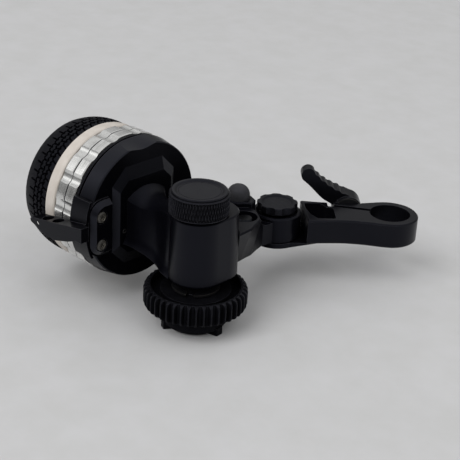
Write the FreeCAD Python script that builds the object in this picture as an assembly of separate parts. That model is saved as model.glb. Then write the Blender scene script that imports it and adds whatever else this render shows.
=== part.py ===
"""Compact follow focus unit: handwheel, right-angle drive, swing link and 15 mm rod clamp.

Built in a drive frame: the drive gear's axis is Z, the handwheel's axis points to -X and the
swing hinge lies towards +Y. Every solid is then shifted so that the origin is the centre of the
rod bore. Millimetres throughout.
"""
import FreeCAD, Part
import math
import os

V = FreeCAD.Vector
X_AXIS, Y_AXIS, Z_AXIS = V(1, 0, 0), V(0, 1, 0), V(0, 0, 1)

# ---- fits -------------------------------------------------------------------------------
RUN_FIT = 0.06          # radial clearance of a turning fit
GAP = 0.3               # gap between faces that move past each other
SEAT_FIT = 0.02         # clearance of a part that is pushed in and stays

# ---- rod clamp arm ----------------------------------------------------------------------
ROD_D = 15.0            # diameter of the support rod
ROD_FIT = 0.05          # radial clearance of the open clamp on the rod
ARM_LENGTH = 42.0       # hinge axis to rod axis
ARM_ANGLE = 45.0        # arm's direction from +X at rest
ARM_HEIGHT = 9.4
ROD_BOSS_R = 10.5       # outside radius round the rod bore
WAIST_HALF = 8.1        # half width of the arm at its waist
HINGE_END_HALF = 9.9    # half width of the arm at its hinge end
END_REAR = 9.4          # the arm's slanted end, at its rear and front edges
END_FRONT = 11.0
POCKET_END = 21.3       # far end of the pocket, measured from the hinge
POCKET_FRONT = 6.4      # pocket's front and rear faces, from the arm's centre line
POCKET_REAR = 6.9
POCKET_WALL = 1.2       # wall between the pocket and the arm's end
POCKET_CORNER_R = 0.8
EAR_THICK = 1.9         # lower ear that carries the knuckle
EAR_RUN = 17.0          # where the ear's tongue has faded into the arm
TONGUE_HALF = 7.3
SLOT_W = 2.0            # slit between the two jaws
NOTCH_W = 2.6           # opening of the slit at the rear edge
SLIT_START = 5.5        # slit's middle from the arm's centre line, at its start
SLIT_END = 2.25         # and at the rod bore
BOLT_FROM_HINGE = 27.6  # clamp bolt's place along the arm
BOLT_RISE = 1.2         # clamp bolt's height above the arm's middle
BOLT_D = 4.0
BOLT_DEPTH = 12.5       # blind thread depth in the front jaw, from the rear face
LEVER_HUB_R = 5.5
LEVER_HUB_LEN = 8.8
LEVER_BLADE_SET = 1.2   # blade's front face behind the hub's
LEVER_TIP_R = 2.7
LEVER_TIP_W = 4.2       # width of the blade at its tip
LEVER_RIBS = 5          # scallops across the blade's upper face
LEVER_RIB_R = 1.7
LEVER_RIB_DEPTH = 0.35
WASHER_T = 0.8

# ---- swing hinge ------------------------------------------------------------------------
HINGE_X = -6.0          # hinge axis from the drive axis
HINGE_Y = 47.7
KNUCKLE_R = 9.0
KNUCKLE_H = 9.7
KNUCKLE_RECESS = 1.2    # depth of the seat under the lock knob
HINGE_BOLT_D = 5.0
HINGE_BUSH_WALL = 1.0
HINGE_WASHER_R = 6.4
HINGE_INSERT_R = 3.6    # threaded insert in the lock knob
HINGE_COLLAR_R = 4.6
HINGE_KNOB_R = 7.5
HINGE_KNOB_H = 2.9
HINGE_KNOB_LOBES = 8
HINGE_FLUTE_R = 2.6
HINGE_FLUTE_DEPTH = 0.85
LINK_TOP = 23.0         # top of the link's head, above the drive datum
LINK_BOTTOM = 8.3
LINK_SEAM = 0.35        # link's front face to the post at their closest
HEAD_END = 30.5         # far end of the link's tall head
SEAM_Z = 18.5           # above this a narrow gap parts the head from the post
SEAM_W = 0.4
RAIL_DEPTH = 3.0        # dovetail that carries the link on the post
RAIL_X = -3.0           # rail's centre, behind the link's narrow foot
RECESS_AT = V(-1.0, 24.2, 0)
RECESS_R = 4.7
RECESS_DEPTH = 3.4
LATCH_AT = V(-1.4, 24.9, 0)
LATCH_R = 2.9
SHELF_RISE = 1.9        # the rear shelf's height above the head
BUTTON_AT = V(-11.0, 31.6, 0)
BUTTON_R = 4.2
BUTTON_RISE = 6.9       # button's top above the head
BUTTON_SUNK = 4.2
SPRING_R = 2.2          # coil spring under the button
SPRING_LOW = 6.5        # spring's seat below the head's top
SPRING_POCKET = 2.4
SPRING_TURNS = 5

# ---- gearbox ----------------------------------------------------------------------------
ARM_MID_Z = 12.3        # middle of the arm above the drive datum
POST_R_TOP = 9.3
POST_R_BOTTOM = 9.8
POST_BOTTOM = 8.0
POST_TOP = 31.5
POST_STRETCH = 6.2      # how far the post's oval runs towards the hinge
WHEEL_Z = 23.8          # handwheel axis above the drive datum
UPPER_BUSH_LOW = 29.5
BOSS_FACE = 25.6        # distances from the drive axis along the handwheel axis
DRUM_BACK = 27.1
DRUM_FRONT = 32.9
BOSS_W = 28.8
BOSS_H = 36.4
BOSS_CORNER = 5.8
BOSS_SIDE_SLOPE = 2.5   # insets of the boss's flat face from its foot
BOSS_END_SLOPE = 4.7
SCOOP_AT = 91.0         # thumb scoop's place round the wheel, 90 being the top
SCOOP_HALF = 22.0       # half of the angle it reaches over
SCOOP_DEPTH = 2.1
HOUSING_SCREW_AT = 5.6  # housing screws' circle outside the bearings

# ---- handwheel --------------------------------------------------------------------------
STOP_RING_R = 25.7      # the drum, wheel and indicator take their radii from this one
RING_WALL = 5.7         # from the rings' outside to the sleeve they turn on
DRAG_RING_FRONT = 35.2
SCALLOPS = 16           # round-bottomed scallops of a stop ring
SCALLOP_R = 4.4
SCALLOP_DEPTH = 0.75
SCALLOP_AT = 13.2       # first scallop's angle past the top
DISC_BACK = 45.1
DISC_FRONT = 49.5
DISC_LIP = 3.2          # depth of the marking disc's rim
TYRE_FRONT = 64.0
TYRE_WALL = 4.0
TYRE_GROOVES = (52.1, 53.9, 56.0)
TYRE_GROOVE_W = 0.5
TYRE_GROOVE_DEPTH = 1.3
COVER_SCREW_IN = 8.3    # small screws' circle inside the wheel's rim
WHEEL_SHAFT_R = 3.0
WHEEL_SCREW_R = 6.4     # head of the wheel's centre screw
WHEEL_SCREW_KEY = 2.0   # corner radius of its hexagon socket

# ---- drive ------------------------------------------------------------------------------
GEAR_MODULE = 0.8
GEAR_TEETH = 43
GEAR_BOTTOM = -2.4
GEAR_TOP = 5.3
GEAR_TOOTH_AT = 5.8     # first tooth's angle at rest
GEAR_END_ROUND = 1.7    # how far the teeth are rounded over at their ends
GEAR_WEB_OUT = 15.6     # groove in the gear's web
GEAR_WEB_IN = 12.2
HUB_R = 11.0
HUB_SPIGOT_R = 6.6
HUB_BOTTOM = -9.0
LUG_DROP = 1.2
DRIVE_SHAFT_R = 2.5
BEARING_R = 6.5         # outside radius of the ball bearings
BEARING_W = 3.5
MITRE_TEETH = 20
MITRE_R = 5.0           # pitch radius of the mitre gears
MITRE_FACE = 2.0
MITRE_NOSE = 3.2        # distance from the drive axis to the wheel gear's small end
KNOB_R = 10.2
KNOB_BOTTOM = 32.2
KNOB_TOP = 40.5
KNOB_FLUTES = 44
KNOB_INSERT_R = 4.2     # threaded insert in the knob

# ---- indicator --------------------------------------------------------------------------
PLATE_W = 8.6           # clamp plate
PLATE_HALF = 10.0
PLATE_EDGE = 0.5        # bracket's foot beyond the plate
PLATE_DROP = 0.7        # plate's middle below the wheel's axis
PLATE_CORNER = 5.4
PLATE_T = 1.9
FOOT_T = 0.7            # bracket's foot under the plate
SCREW_IN = 3.9          # screws in from the plate's outer edge
SCREW_Z = (4.0, -6.3)   # above and below the wheel's axis
INDEX_HOLE_R = 2.1
INDEX_HOLE_SPACING = 5.5
INDEX_TIP = 1.4         # pointer's tip beyond the marking disc
INDEX_HOLE_IN = 7.0     # first hole back from the tip
INDEX_T = 4.8           # pointer's thickness

# ---- worked out from the sizes above ----------------------------------------------------
ARM_RAD = math.radians(ARM_ANGLE)
ARM_DIR = V(math.cos(ARM_RAD), math.sin(ARM_RAD), 0)
ARM_SIDE = V(-math.sin(ARM_RAD), math.cos(ARM_RAD), 0)
HINGE = V(HINGE_X, HINGE_Y, 0)
ROD = HINGE + ARM_DIR * ARM_LENGTH
ORIGIN = V(ROD.x, ROD.y, ARM_MID_Z)
ARM_BOTTOM = ARM_MID_Z - ARM_HEIGHT / 2
ARM_TOP = ARM_MID_Z + ARM_HEIGHT / 2
KNUCKLE_TOP = ARM_TOP
KNUCKLE_BOTTOM = KNUCKLE_TOP - KNUCKLE_H
EAR_TOP = KNUCKLE_BOTTOM - 0.1
EAR_BOTTOM = EAR_TOP - EAR_THICK
BORE_R = ROD_D / 2 + ROD_FIT
SLEEVE_R = STOP_RING_R - RING_WALL  # sleeve that the stop rings turn on
SLEEVE_END = DISC_BACK - 0.5
RING_SPACE = (SLEEVE_END - DRAG_RING_FRONT - 3 * GAP) / 2
RING_BORE = SLEEVE_R + RUN_FIT
WHEEL = V(0, 0, WHEEL_Z)
BOLT_Z = ARM_MID_Z + BOLT_RISE
LEVER_SEAT = WAIST_HALF - 0.15      # flat that the lever's washer bears on
LEVER_START = LEVER_SEAT + WASHER_T
LEVER_END = LEVER_START + LEVER_HUB_LEN
COLLAR_LOW = KNUCKLE_TOP - KNUCKLE_RECESS + 0.65
LINK_NEAR = POST_STRETCH + POST_R_TOP + LINK_SEAM
BUTTON_LOW = LINK_TOP - BUTTON_SUNK
MITRE_ROOM = MITRE_R + 1.6
MITRE_BACK = MITRE_R + 1.8          # wheel gear's far side from the drive axis
DRUM_R = STOP_RING_R - 0.1
DRUM_BACK_R = STOP_RING_R - 1.0
DISC_R = STOP_RING_R - 0.3
TYRE_R = STOP_RING_R - 0.4
TYRE_FRONT_R = TYRE_R - 1.9
WHEEL_RIM_R = TYRE_R - TYRE_WALL
SADDLE_R = STOP_RING_R + 1.0        # bracket's saddle over the drum's rim
INDEX_IN = STOP_RING_R + 0.4        # inner face of the pointer, just outside the rings
INDEX_OUT = INDEX_IN + INDEX_T
PLATE_OUTER = STOP_RING_R - 0.7     # clamp plate's edges, from the wheel's axis
PLATE_INNER = PLATE_OUTER - PLATE_W
SCREW_Y = PLATE_OUTER - SCREW_IN

os.makedirs("parts", exist_ok=True)


# ---- small helpers ----------------------------------------------------------------------
def zcyl(radius, low, high, x=0.0, y=0.0):
    """Upright cylinder between two heights."""
    return Part.makeCylinder(radius, high - low, V(x, y, low), Z_AXIS)


def xcyl(radius, near, far, y=0.0, z=0.0):
    """Cylinder on the handwheel axis, from one distance to a greater one."""
    return Part.makeCylinder(radius, far - near, V(-far, y, WHEEL_Z + z), X_AXIS)


def ztube(outer, inner, low, high, x=0.0, y=0.0):
    return zcyl(outer, low, high, x, y).cut(zcyl(inner, low - 1, high + 1, x, y))


def xtube(outer, inner, near, far):
    return xcyl(outer, near, far).cut(xcyl(inner, near - 1, far + 1))


def block(x0, x1, y0, y1, z0, z1):
    return Part.makeBox(x1 - x0, y1 - y0, z1 - z0, V(x0, y0, z0))


def face_of(points):
    """Flat face from a list of corner points."""
    return Part.Face(Part.makePolygon(points + [points[0]]))


def turned(profile, axis_point, axis):
    """Solid of revolution from a closed list of points in a plane through the axis."""
    return face_of(profile).revolve(axis_point, axis, 360)


def wheel_turned(profile):
    """Solid turned about the handwheel axis from (distance, radius) pairs."""
    return turned([V(-d, 0, WHEEL_Z + r) for d, r in profile], WHEEL, X_AXIS)


def drive_turned(profile, centre=V(0, 0, 0)):
    """Solid turned about an upright axis from (radius, height) pairs."""
    return turned([V(centre.x + r, centre.y, z) for r, z in profile], centre, Z_AXIS)


def along(shape, count, pitch_angle, point, axis):
    """Copies of a shape turned about an axis, as a list."""
    copies = []
    for i in range(count):
        copy = shape.copy()
        copy.rotate(point, axis, i * pitch_angle)
        copies.append(copy)
    return copies


def arm_point(s, t, z=0.0):
    """Point given along the arm from the hinge (s) and across it to the rear (t)."""
    return HINGE + ARM_DIR * s + ARM_SIDE * t + Z_AXIS * z


def arm_prism(corners, low, high):
    """Upright prism from (s, t) corners."""
    return face_of([arm_point(s, t, low) for s, t in corners]).extrude(V(0, 0, high - low))


def arm_round(radius, s, t, low, high):
    centre = arm_point(s, t)
    return zcyl(radius, low, high, centre.x, centre.y)


def side_cyl(radius, s, height, t0, t1):
    """Cylinder across the arm, from side t0 to side t1."""
    return Part.makeCylinder(radius, t1 - t0, arm_point(s, t0, height), ARM_SIDE)


def fused(shapes):
    result = shapes[0]
    for shape in shapes[1:]:
        result = result.fuse(shape)
    return result.removeSplitter()


def edges_at(shape, test):
    """Edges whose centre of mass passes a test."""
    return [edge for edge in shape.Edges if test(edge.CenterOfMass, edge)]


def save(name, shape):
    """Shift a finished solid into the part's frame and write it."""
    placed = shape.copy()
    placed.translate(ORIGIN * -1)
    placed.exportStep("parts/" + name + ".step")


# ---- rod clamp --------------------------------------------------------------------------
def arm_outline():
    """The arm seen from above: two round ends joined by a waisted bar."""
    ends = []
    for side in (1, -1):
        start = arm_point(0, side * HINGE_END_HALF)
        waist = arm_point(ARM_LENGTH * 0.62, side * WAIST_HALF)
        swell = arm_point(ARM_LENGTH, side * ROD_BOSS_R)
        quarter = arm_point(ARM_LENGTH * 0.35, side * (WAIST_HALF + 0.35 * (HINGE_END_HALF - WAIST_HALF)))
        late = arm_point(ARM_LENGTH * 0.84, side * (WAIST_HALF + 0.55 * (ROD_BOSS_R - WAIST_HALF)))
        curve = Part.BSplineCurve()
        curve.interpolate([start, quarter, waist, late, swell],
                          InitialTangent=ARM_DIR, FinalTangent=ARM_DIR)
        ends.append((start, swell, curve))
    (a0, a1, upper), (b0, b1, lower) = ends
    cap = Part.Arc(a1, arm_point(ARM_LENGTH + ROD_BOSS_R, 0), b1).toShape()
    close = Part.makeLine(b0, a0)
    wire = Part.Wire([upper.toShape(), cap, lower.toShape(), close])
    return Part.Face(wire)


def rounded(shape, radius):
    """Fillet every edge of a prism that runs upright."""
    upright = [e for e in shape.Edges
               if abs(e.tangentAt(e.FirstParameter).z) > 0.999 and e.Length > 2]
    return shape.makeFillet(radius, upright)


def pocket(low, high):
    """Window through the arm, between its slanted end and the jaws."""
    near = END_REAR + POCKET_WALL
    corners = [(near, POCKET_REAR), (POCKET_END - 4.6, POCKET_REAR), (POCKET_END - 2.7, POCKET_REAR / 2),
               (POCKET_END, POCKET_REAR / 2 - 0.3), (POCKET_END, -POCKET_FRONT),
               (near + 4.0, -POCKET_FRONT), (near + 1.7, -POCKET_FRONT / 2), (near + 0.3, 2.2)]
    return rounded(arm_prism(corners, low, high), POCKET_CORNER_R)


def slit(low, high):
    """Slit from the rear edge to the rod bore, which parts the rear jaw from the arm."""
    start = (POCKET_END + 0.7, SLIT_START)
    end = (ARM_LENGTH - BORE_R + 1.0, SLIT_END)
    run = math.atan2(end[1] - start[1], end[0] - start[0])
    dx, dy = -math.sin(run) * SLOT_W / 2, math.cos(run) * SLOT_W / 2
    long_cut = arm_prism([(start[0] - 1.2, start[1] - dy), (end[0] + dx, end[1] - dy),
                          (end[0] + dx, end[1] + dy), (start[0] - 1.2, start[1] + dy)], low, high)
    notch = arm_prism([(start[0] - NOTCH_W, start[1] - dy), (start[0] - 0.1, start[1] - dy),
                       (start[0] - 0.1, 13.0), (start[0] - NOTCH_W, 13.0)], low, high)
    return long_cut.fuse(notch)


def ear():
    """Lower ear: a disc under the knuckle whose tongue fades into the arm's underside."""
    disc = arm_round(KNUCKLE_R + 0.1, 0, 0, EAR_BOTTOM, EAR_TOP)
    plan = arm_prism([(0, -KNUCKLE_R + 0.2), (KNUCKLE_R / 2, -TONGUE_HALF - 0.4), (EAR_RUN, -TONGUE_HALF),
                      (EAR_RUN, TONGUE_HALF), (KNUCKLE_R / 2, TONGUE_HALF + 0.4), (0, KNUCKLE_R - 0.2)],
                     EAR_BOTTOM - 1, ARM_BOTTOM + 1)
    profile = [(0, EAR_BOTTOM), (5.0, EAR_BOTTOM), (EAR_RUN, ARM_BOTTOM), (EAR_RUN, ARM_BOTTOM + 0.8),
               (END_FRONT + 0.3, ARM_BOTTOM + 0.8), (END_FRONT + 0.3, EAR_TOP), (0, EAR_TOP)]
    wedge = face_of([arm_point(s, -HINGE_END_HALF - 1, z) for s, z in profile])
    tongue = wedge.extrude(ARM_SIDE * (2 * HINGE_END_HALF + 2)).common(plan)
    return disc.fuse(tongue)


def clamp_arm():
    """One-piece clamp arm: pocket, split rod boss and the lower ear of the hinge."""
    bar = arm_outline().extrude(V(0, 0, ARM_HEIGHT))
    bar.translate(V(0, 0, ARM_BOTTOM))
    wide = HINGE_END_HALF + 6
    behind = arm_prism([(-wide, -wide), (END_FRONT, -wide), (END_FRONT, -HINGE_END_HALF),
                        (END_REAR, HINGE_END_HALF), (END_REAR, wide), (-wide, wide)],
                       ARM_BOTTOM - 1, ARM_TOP + 1)
    bar = bar.cut(behind)
    rim = [e for e in bar.Edges if abs(e.BoundBox.ZMin - e.BoundBox.ZMax) < 1e-6]
    bar = bar.makeChamfer(0.5, rim)
    bar = bar.cut(pocket(EAR_BOTTOM - 1, ARM_TOP + 1))
    body = fused([bar, ear()])
    body = body.cut(slit(ARM_BOTTOM - 3, ARM_TOP + 1))
    body = body.cut(zcyl(BORE_R, ARM_BOTTOM - 1, ARM_TOP + 1, ROD.x, ROD.y))
    body = body.cut(side_cyl(BOLT_D / 2 + RUN_FIT, BOLT_FROM_HINGE, BOLT_Z,
                             WAIST_HALF - BOLT_DEPTH, WAIST_HALF + 5))
    body = body.cut(side_cyl(LEVER_HUB_R + 0.4, BOLT_FROM_HINGE, BOLT_Z, LEVER_SEAT, LEVER_SEAT + 5))
    bolt_hole = zcyl(HINGE_BOLT_D / 2 + SEAT_FIT, EAR_BOTTOM - 1, EAR_TOP + 1, HINGE.x, HINGE.y)
    head_seat = zcyl(HINGE_BOLT_D / 2 + 1.8, EAR_BOTTOM - 1, EAR_BOTTOM + 0.9, HINGE.x, HINGE.y)
    return body.cut(bolt_hole).cut(head_seat).removeSplitter()


def clamp_bolt():
    """Bolt across the jaws, keyed into the lever's hub."""
    return side_cyl(BOLT_D / 2, BOLT_FROM_HINGE, BOLT_Z, WAIST_HALF - BOLT_DEPTH + 0.6, LEVER_END - 1.2)


def lever_washer():
    ring = side_cyl(LEVER_HUB_R - 0.3, BOLT_FROM_HINGE, BOLT_Z, LEVER_SEAT, LEVER_START)
    return ring.cut(side_cyl(BOLT_D / 2 + SEAT_FIT, BOLT_FROM_HINGE, BOLT_Z, 0, 20))


LEVER_TOP = [(13.9, 16.4), (17.6, 12.7), (21.2, 10.2), (25.0, 8.2), (27.8, 6.95), (29.6, 6.15)]
LEVER_UNDER = [(25.0, -1.0), (22.4, 2.6), (18.4, 5.0), (14.0, 9.1), (10.0, 12.6)]
LEVER_TIP = (11.9, 14.6)


def lever_blade():
    """Blade of the lever: swept from the hub up to a round tip, thinner towards the tip."""
    front = LEVER_START + LEVER_BLADE_SET

    def at(point, t=front):
        return arm_point(point[0], t, ARM_MID_Z + point[1])
    top = Part.BSplineCurve()
    top.interpolate([at(p) for p in LEVER_TOP])
    under = Part.BSplineCurve()
    under.interpolate([at(p) for p in LEVER_UNDER])
    wire = Part.Wire([top.toShape(), Part.makeLine(at(LEVER_TOP[-1]), at(LEVER_UNDER[0])),
                      under.toShape(), Part.makeLine(at(LEVER_UNDER[-1]), at(LEVER_TOP[0]))])
    blade = Part.Face(wire).extrude(ARM_SIDE * (LEVER_END - front))
    tip = side_cyl(LEVER_TIP_R, LEVER_TIP[0], ARM_MID_Z + LEVER_TIP[1], front, LEVER_END)
    body = fused([blade, tip])
    behind = [(BOLT_FROM_HINGE + 6, LEVER_END - 0.4), (BOLT_FROM_HINGE - 4, LEVER_END - 0.4),
              (LEVER_TIP[0] + 4, front + LEVER_TIP_W + 0.4), (LEVER_TIP[0] - 4, front + LEVER_TIP_W),
              (LEVER_TIP[0] - 4, LEVER_END + 9), (BOLT_FROM_HINGE + 6, LEVER_END + 9)]
    body = body.cut(arm_prism(behind, ARM_MID_Z - 6, ARM_MID_Z + 22))
    # scallops stand at even steps along the upper edge, each centred on its normal
    steps = top.toShape().discretize(Number=2 * LEVER_RIBS + 3)
    for i in range(LEVER_RIBS):
        before, here, after = steps[2 * i], steps[2 * i + 1], steps[2 * i + 2]
        outward = (after - before).cross(ARM_SIDE).normalize()
        centre = here + outward * (LEVER_RIB_R - LEVER_RIB_DEPTH)
        body = body.cut(Part.makeCylinder(LEVER_RIB_R, LEVER_HUB_LEN + 4, centre - ARM_SIDE * 2, ARM_SIDE))
    return body


def clamp_lever():
    """Thumb lever: a round hub and a blade that is ribbed on top."""
    hub = side_cyl(LEVER_HUB_R, BOLT_FROM_HINGE, BOLT_Z, LEVER_START, LEVER_END)
    rim = edges_at(hub, lambda c, e: c.sub(HINGE).dot(ARM_SIDE) > LEVER_END - 0.1)
    hub = hub.makeChamfer(0.5, rim)
    body = fused([hub, lever_blade()])
    body = body.cut(side_cyl(BOLT_D / 2 + SEAT_FIT, BOLT_FROM_HINGE, BOLT_Z, 0, LEVER_END - 1.2))
    return body.cut(side_cyl(1.6, BOLT_FROM_HINGE, BOLT_Z, 0, LEVER_END + 1))


def lever_screw():
    """Button-head screw that holds the lever on its bolt."""
    shank = side_cyl(1.5, BOLT_FROM_HINGE, BOLT_Z, LEVER_END - 1.2, LEVER_END)
    head = side_cyl(2.8, BOLT_FROM_HINGE, BOLT_Z, LEVER_END, LEVER_END + 1.3)
    rim = edges_at(head, lambda c, e: c.sub(HINGE).dot(ARM_SIDE) > LEVER_END + 1.2)
    head = head.makeFillet(0.8, rim)
    socket = side_cyl(1.0, BOLT_FROM_HINGE, BOLT_Z, LEVER_END + 0.5, LEVER_END + 2)
    return fused([shank, head]).cut(socket)


# ---- swing hinge ------------------------------------------------------------------------
def hinge_bolt():
    """Hinge bolt pressed up through the lower ear."""
    shank = zcyl(HINGE_BOLT_D / 2, EAR_BOTTOM + 0.9, KNUCKLE_TOP + HINGE_KNOB_H - 1.4, HINGE.x, HINGE.y)
    head = zcyl(HINGE_BOLT_D / 2 + 1.7, EAR_BOTTOM + 0.1, EAR_BOTTOM + 0.9, HINGE.x, HINGE.y)
    return fused([shank, head])


def hinge_bush():
    inner = HINGE_BOLT_D / 2 + RUN_FIT
    return ztube(inner + HINGE_BUSH_WALL, inner, KNUCKLE_BOTTOM + 0.05, KNUCKLE_TOP - KNUCKLE_RECESS - 0.9,
                 HINGE.x, HINGE.y)


def hinge_washer():
    """Friction washer between the knuckle and the lock knob."""
    inner = HINGE_BOLT_D / 2 + RUN_FIT
    low = KNUCKLE_TOP - KNUCKLE_RECESS
    return ztube(HINGE_WASHER_R, inner, low, low + 0.6, HINGE.x, HINGE.y)


def hinge_knob():
    """Low lobed lock knob with a dished top and a collar that reaches down to the washer."""
    low = KNUCKLE_TOP + 0.45
    high = low + HINGE_KNOB_H
    knob = drive_turned([(0, low), (HINGE_KNOB_R - 0.5, low), (HINGE_KNOB_R, low + 0.5),
                         (HINGE_KNOB_R, high - 0.25), (HINGE_KNOB_R - 0.25, high),
                         (HINGE_KNOB_R - 1.7, high), (HINGE_KNOB_R - 2.4, high - 0.5), (0, high - 0.5)],
                        HINGE)
    step = 360.0 / HINGE_KNOB_LOBES
    reach = HINGE_KNOB_R + HINGE_FLUTE_R - HINGE_FLUTE_DEPTH
    flute = zcyl(HINGE_FLUTE_R, low - 1, high + 1, HINGE.x + reach, HINGE.y)
    flute.rotate(HINGE, Z_AXIS, step / 2)
    for cutter in along(flute, HINGE_KNOB_LOBES, step, HINGE, Z_AXIS):
        knob = knob.cut(cutter)
    collar = zcyl(HINGE_COLLAR_R, COLLAR_LOW, low, HINGE.x, HINGE.y)
    knob = fused([knob, collar])
    return knob.cut(zcyl(HINGE_INSERT_R + SEAT_FIT, ARM_BOTTOM, high - 1.0, HINGE.x, HINGE.y))


def hinge_insert():
    """Threaded brass insert moulded into the lock knob."""
    low = COLLAR_LOW
    high = KNUCKLE_TOP + 0.45 + HINGE_KNOB_H - 1.0
    return zcyl(HINGE_INSERT_R, low, high, HINGE.x, HINGE.y).cut(
        zcyl(HINGE_BOLT_D / 2 + RUN_FIT, low - 1, high - 0.6, HINGE.x, HINGE.y))


# ---- link -------------------------------------------------------------------------------
def link_head():
    """Tall head of the link, wider at its top than at its foot."""
    start = LINK_NEAR - 5
    foot = [(2.9, start), (2.2, 19.5), (1.3, 26.3), (-1.0, HEAD_END), (-11.0, HEAD_END),
            (-10.2, 22.0), (-8.2, start)]
    top = [(8.4, start), (7.9, 18.5), (4.4, 27.4), (-1.0, HEAD_END + 0.5), (-9.6, HEAD_END),
           (-9.0, 22.0), (-8.4, start)]
    wires = []
    for corners, z in ((foot, LINK_BOTTOM), (top, LINK_TOP)):
        points = [V(x, y, z) for x, y in corners]
        wires.append(Part.makePolygon(points + [points[0]]))
    head = Part.makeLoft(wires, True, True)
    rim = edges_at(head, lambda c, e: c.z > LINK_TOP - 0.01 and c.x > -2)
    return head.makeChamfer(0.7, rim)


def link_neck():
    """Low neck from the head to the knuckle: its plan is trimmed by its side profile."""
    corners = [(1.8, 22), (1.3, 26.3), (-0.4, 31), (-1.6, 35.4), (HINGE_X + 5.2, HINGE_Y - 4),
               (HINGE_X - 5.6, HINGE_Y - 4), (-12.6, 37.0), (-12.0, 31.0), (-10.4, 22)]
    plan = face_of([V(x, y, 0) for x, y in corners]).extrude(V(0, 0, 60))
    far = HINGE_Y - KNUCKLE_R
    start, under = V(-20, 20, LINK_BOTTOM), V(-20, far - 4, KNUCKLE_BOTTOM + 0.4)
    low_end, top_end = V(-20, HINGE_Y, KNUCKLE_BOTTOM), V(-20, HINGE_Y, KNUCKLE_TOP - 1.6)
    foot, bend = V(-20, far - 1.6, KNUCKLE_TOP - 1.6), V(-20, far - 5.0, KNUCKLE_TOP + 0.2)
    brow, head = V(-20, HEAD_END - 0.5, LINK_TOP - 0.6), V(-20, 20, LINK_TOP - 0.6)
    edges = [Part.makeLine(start, under), Part.makeLine(under, low_end), Part.makeLine(low_end, top_end),
             Part.makeLine(top_end, foot), Part.Arc(foot, bend, brow).toShape(),
             Part.makeLine(brow, head), Part.makeLine(head, start)]
    return Part.Face(Part.Wire(edges)).extrude(V(40, 0, 0)).common(plan)


def link_shelf():
    """Rear shelf of the head: a raised wall that ends in the button's round boss."""
    high = LINK_TOP + SHELF_RISE
    boss = zcyl(BUTTON_R + 0.9, LINK_BOTTOM + 5, high, BUTTON_AT.x, BUTTON_AT.y)
    ends = [V(-9.0, 27.2, 0), V(-4.2, 31.4, 0), V(-5.6, 35.0, 0), V(-8.5, 36.2, 0), V(-13.0, 36.0, 0)]
    wall = face_of([p + Z_AXIS * (LINK_BOTTOM + 5) for p in ends]).extrude(V(0, 0, high - LINK_BOTTOM - 5))
    shelf = fused([boss, wall])
    return shelf.makeChamfer(0.4, edges_at(shelf, lambda c, e: c.z > high - 0.01))


def post_oval(radius, z, stretch=POST_STRETCH):
    """Oval wire round the drive axis, stretched towards the hinge."""
    right = V(radius, 0, z)
    left = V(-radius, 0, z)
    far_right = V(radius, stretch, z)
    far_left = V(-radius, stretch, z)
    return Part.Wire([Part.makeLine(right, far_right),
                      Part.Arc(far_right, V(0, stretch + radius, z), far_left).toShape(),
                      Part.makeLine(far_left, left),
                      Part.Arc(left, V(0, -radius, z), right).toShape()])


def rail(clear):
    """Upright dovetail on the post's rear face; the clearance opens it for the link's socket."""
    low, high = POST_BOTTOM + 5.0, LINK_TOP - RECESS_DEPTH - 1.6
    near = POST_STRETCH + POST_R_TOP - 1.6
    far = LINK_NEAR + RAIL_DEPTH + clear
    narrow, wide = 2.4 + clear, 3.4 + clear
    corners = [V(RAIL_X - narrow, near, low - clear), V(RAIL_X + narrow, near, low - clear),
               V(RAIL_X + wide, far, low - clear), V(RAIL_X - wide, far, low - clear)]
    return face_of(corners).extrude(V(0, 0, high - low + 2 * clear))


def swing_link():
    """Link from the post to the knuckle, with an open recess for the latch pin."""
    body = fused([link_head(), link_neck(), link_shelf()])
    body = body.cut(Part.Face(post_oval(POST_R_BOTTOM + 0.02, 0)).extrude(V(0, 0, 60)))
    seam = Part.Face(post_oval(POST_R_TOP + SEAM_W, SEAM_Z)).extrude(V(0, 0, 20))
    body = body.cut(seam).cut(block(-20, 20, -20, POST_STRETCH, 0, 60))
    knuckle = zcyl(KNUCKLE_R, KNUCKLE_BOTTOM, KNUCKLE_TOP, HINGE.x, HINGE.y)
    rims = edges_at(knuckle, lambda c, e: len(e.Vertexes) == 1)
    knuckle = knuckle.makeChamfer(0.45, rims)
    body = fused([body, knuckle])
    seat = zcyl(KNUCKLE_R - 1.3, KNUCKLE_TOP - KNUCKLE_RECESS, KNUCKLE_TOP + 6, HINGE.x, HINGE.y)
    body = body.cut(seat)
    bush_r = HINGE_BOLT_D / 2 + RUN_FIT + HINGE_BUSH_WALL + SEAT_FIT
    body = body.cut(zcyl(bush_r, KNUCKLE_BOTTOM - 1, KNUCKLE_TOP - KNUCKLE_RECESS - 0.8, HINGE.x, HINGE.y))
    body = body.cut(zcyl(HINGE_BOLT_D / 2 + RUN_FIT, 0, 30, HINGE.x, HINGE.y))
    body = body.cut(zcyl(RECESS_R, LINK_TOP - RECESS_DEPTH, LINK_TOP + 5, RECESS_AT.x, RECESS_AT.y))
    body = body.cut(zcyl(BUTTON_R + RUN_FIT, LINK_TOP - SPRING_LOW, LINK_TOP + 5, BUTTON_AT.x, BUTTON_AT.y))
    body = body.cut(rail(SEAT_FIT))
    return body.removeSplitter()


def release_button():
    """Domed push button, sprung upwards."""
    low, high = BUTTON_LOW, LINK_TOP + BUTTON_RISE
    button = zcyl(BUTTON_R, low, high, BUTTON_AT.x, BUTTON_AT.y)
    crown = edges_at(button, lambda c, e: c.z > high - 0.01)
    button = button.makeFillet(BUTTON_R - 0.3, crown)
    return button.cut(zcyl(SPRING_R + 0.2, low - 1, low + SPRING_POCKET, BUTTON_AT.x, BUTTON_AT.y))


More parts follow.
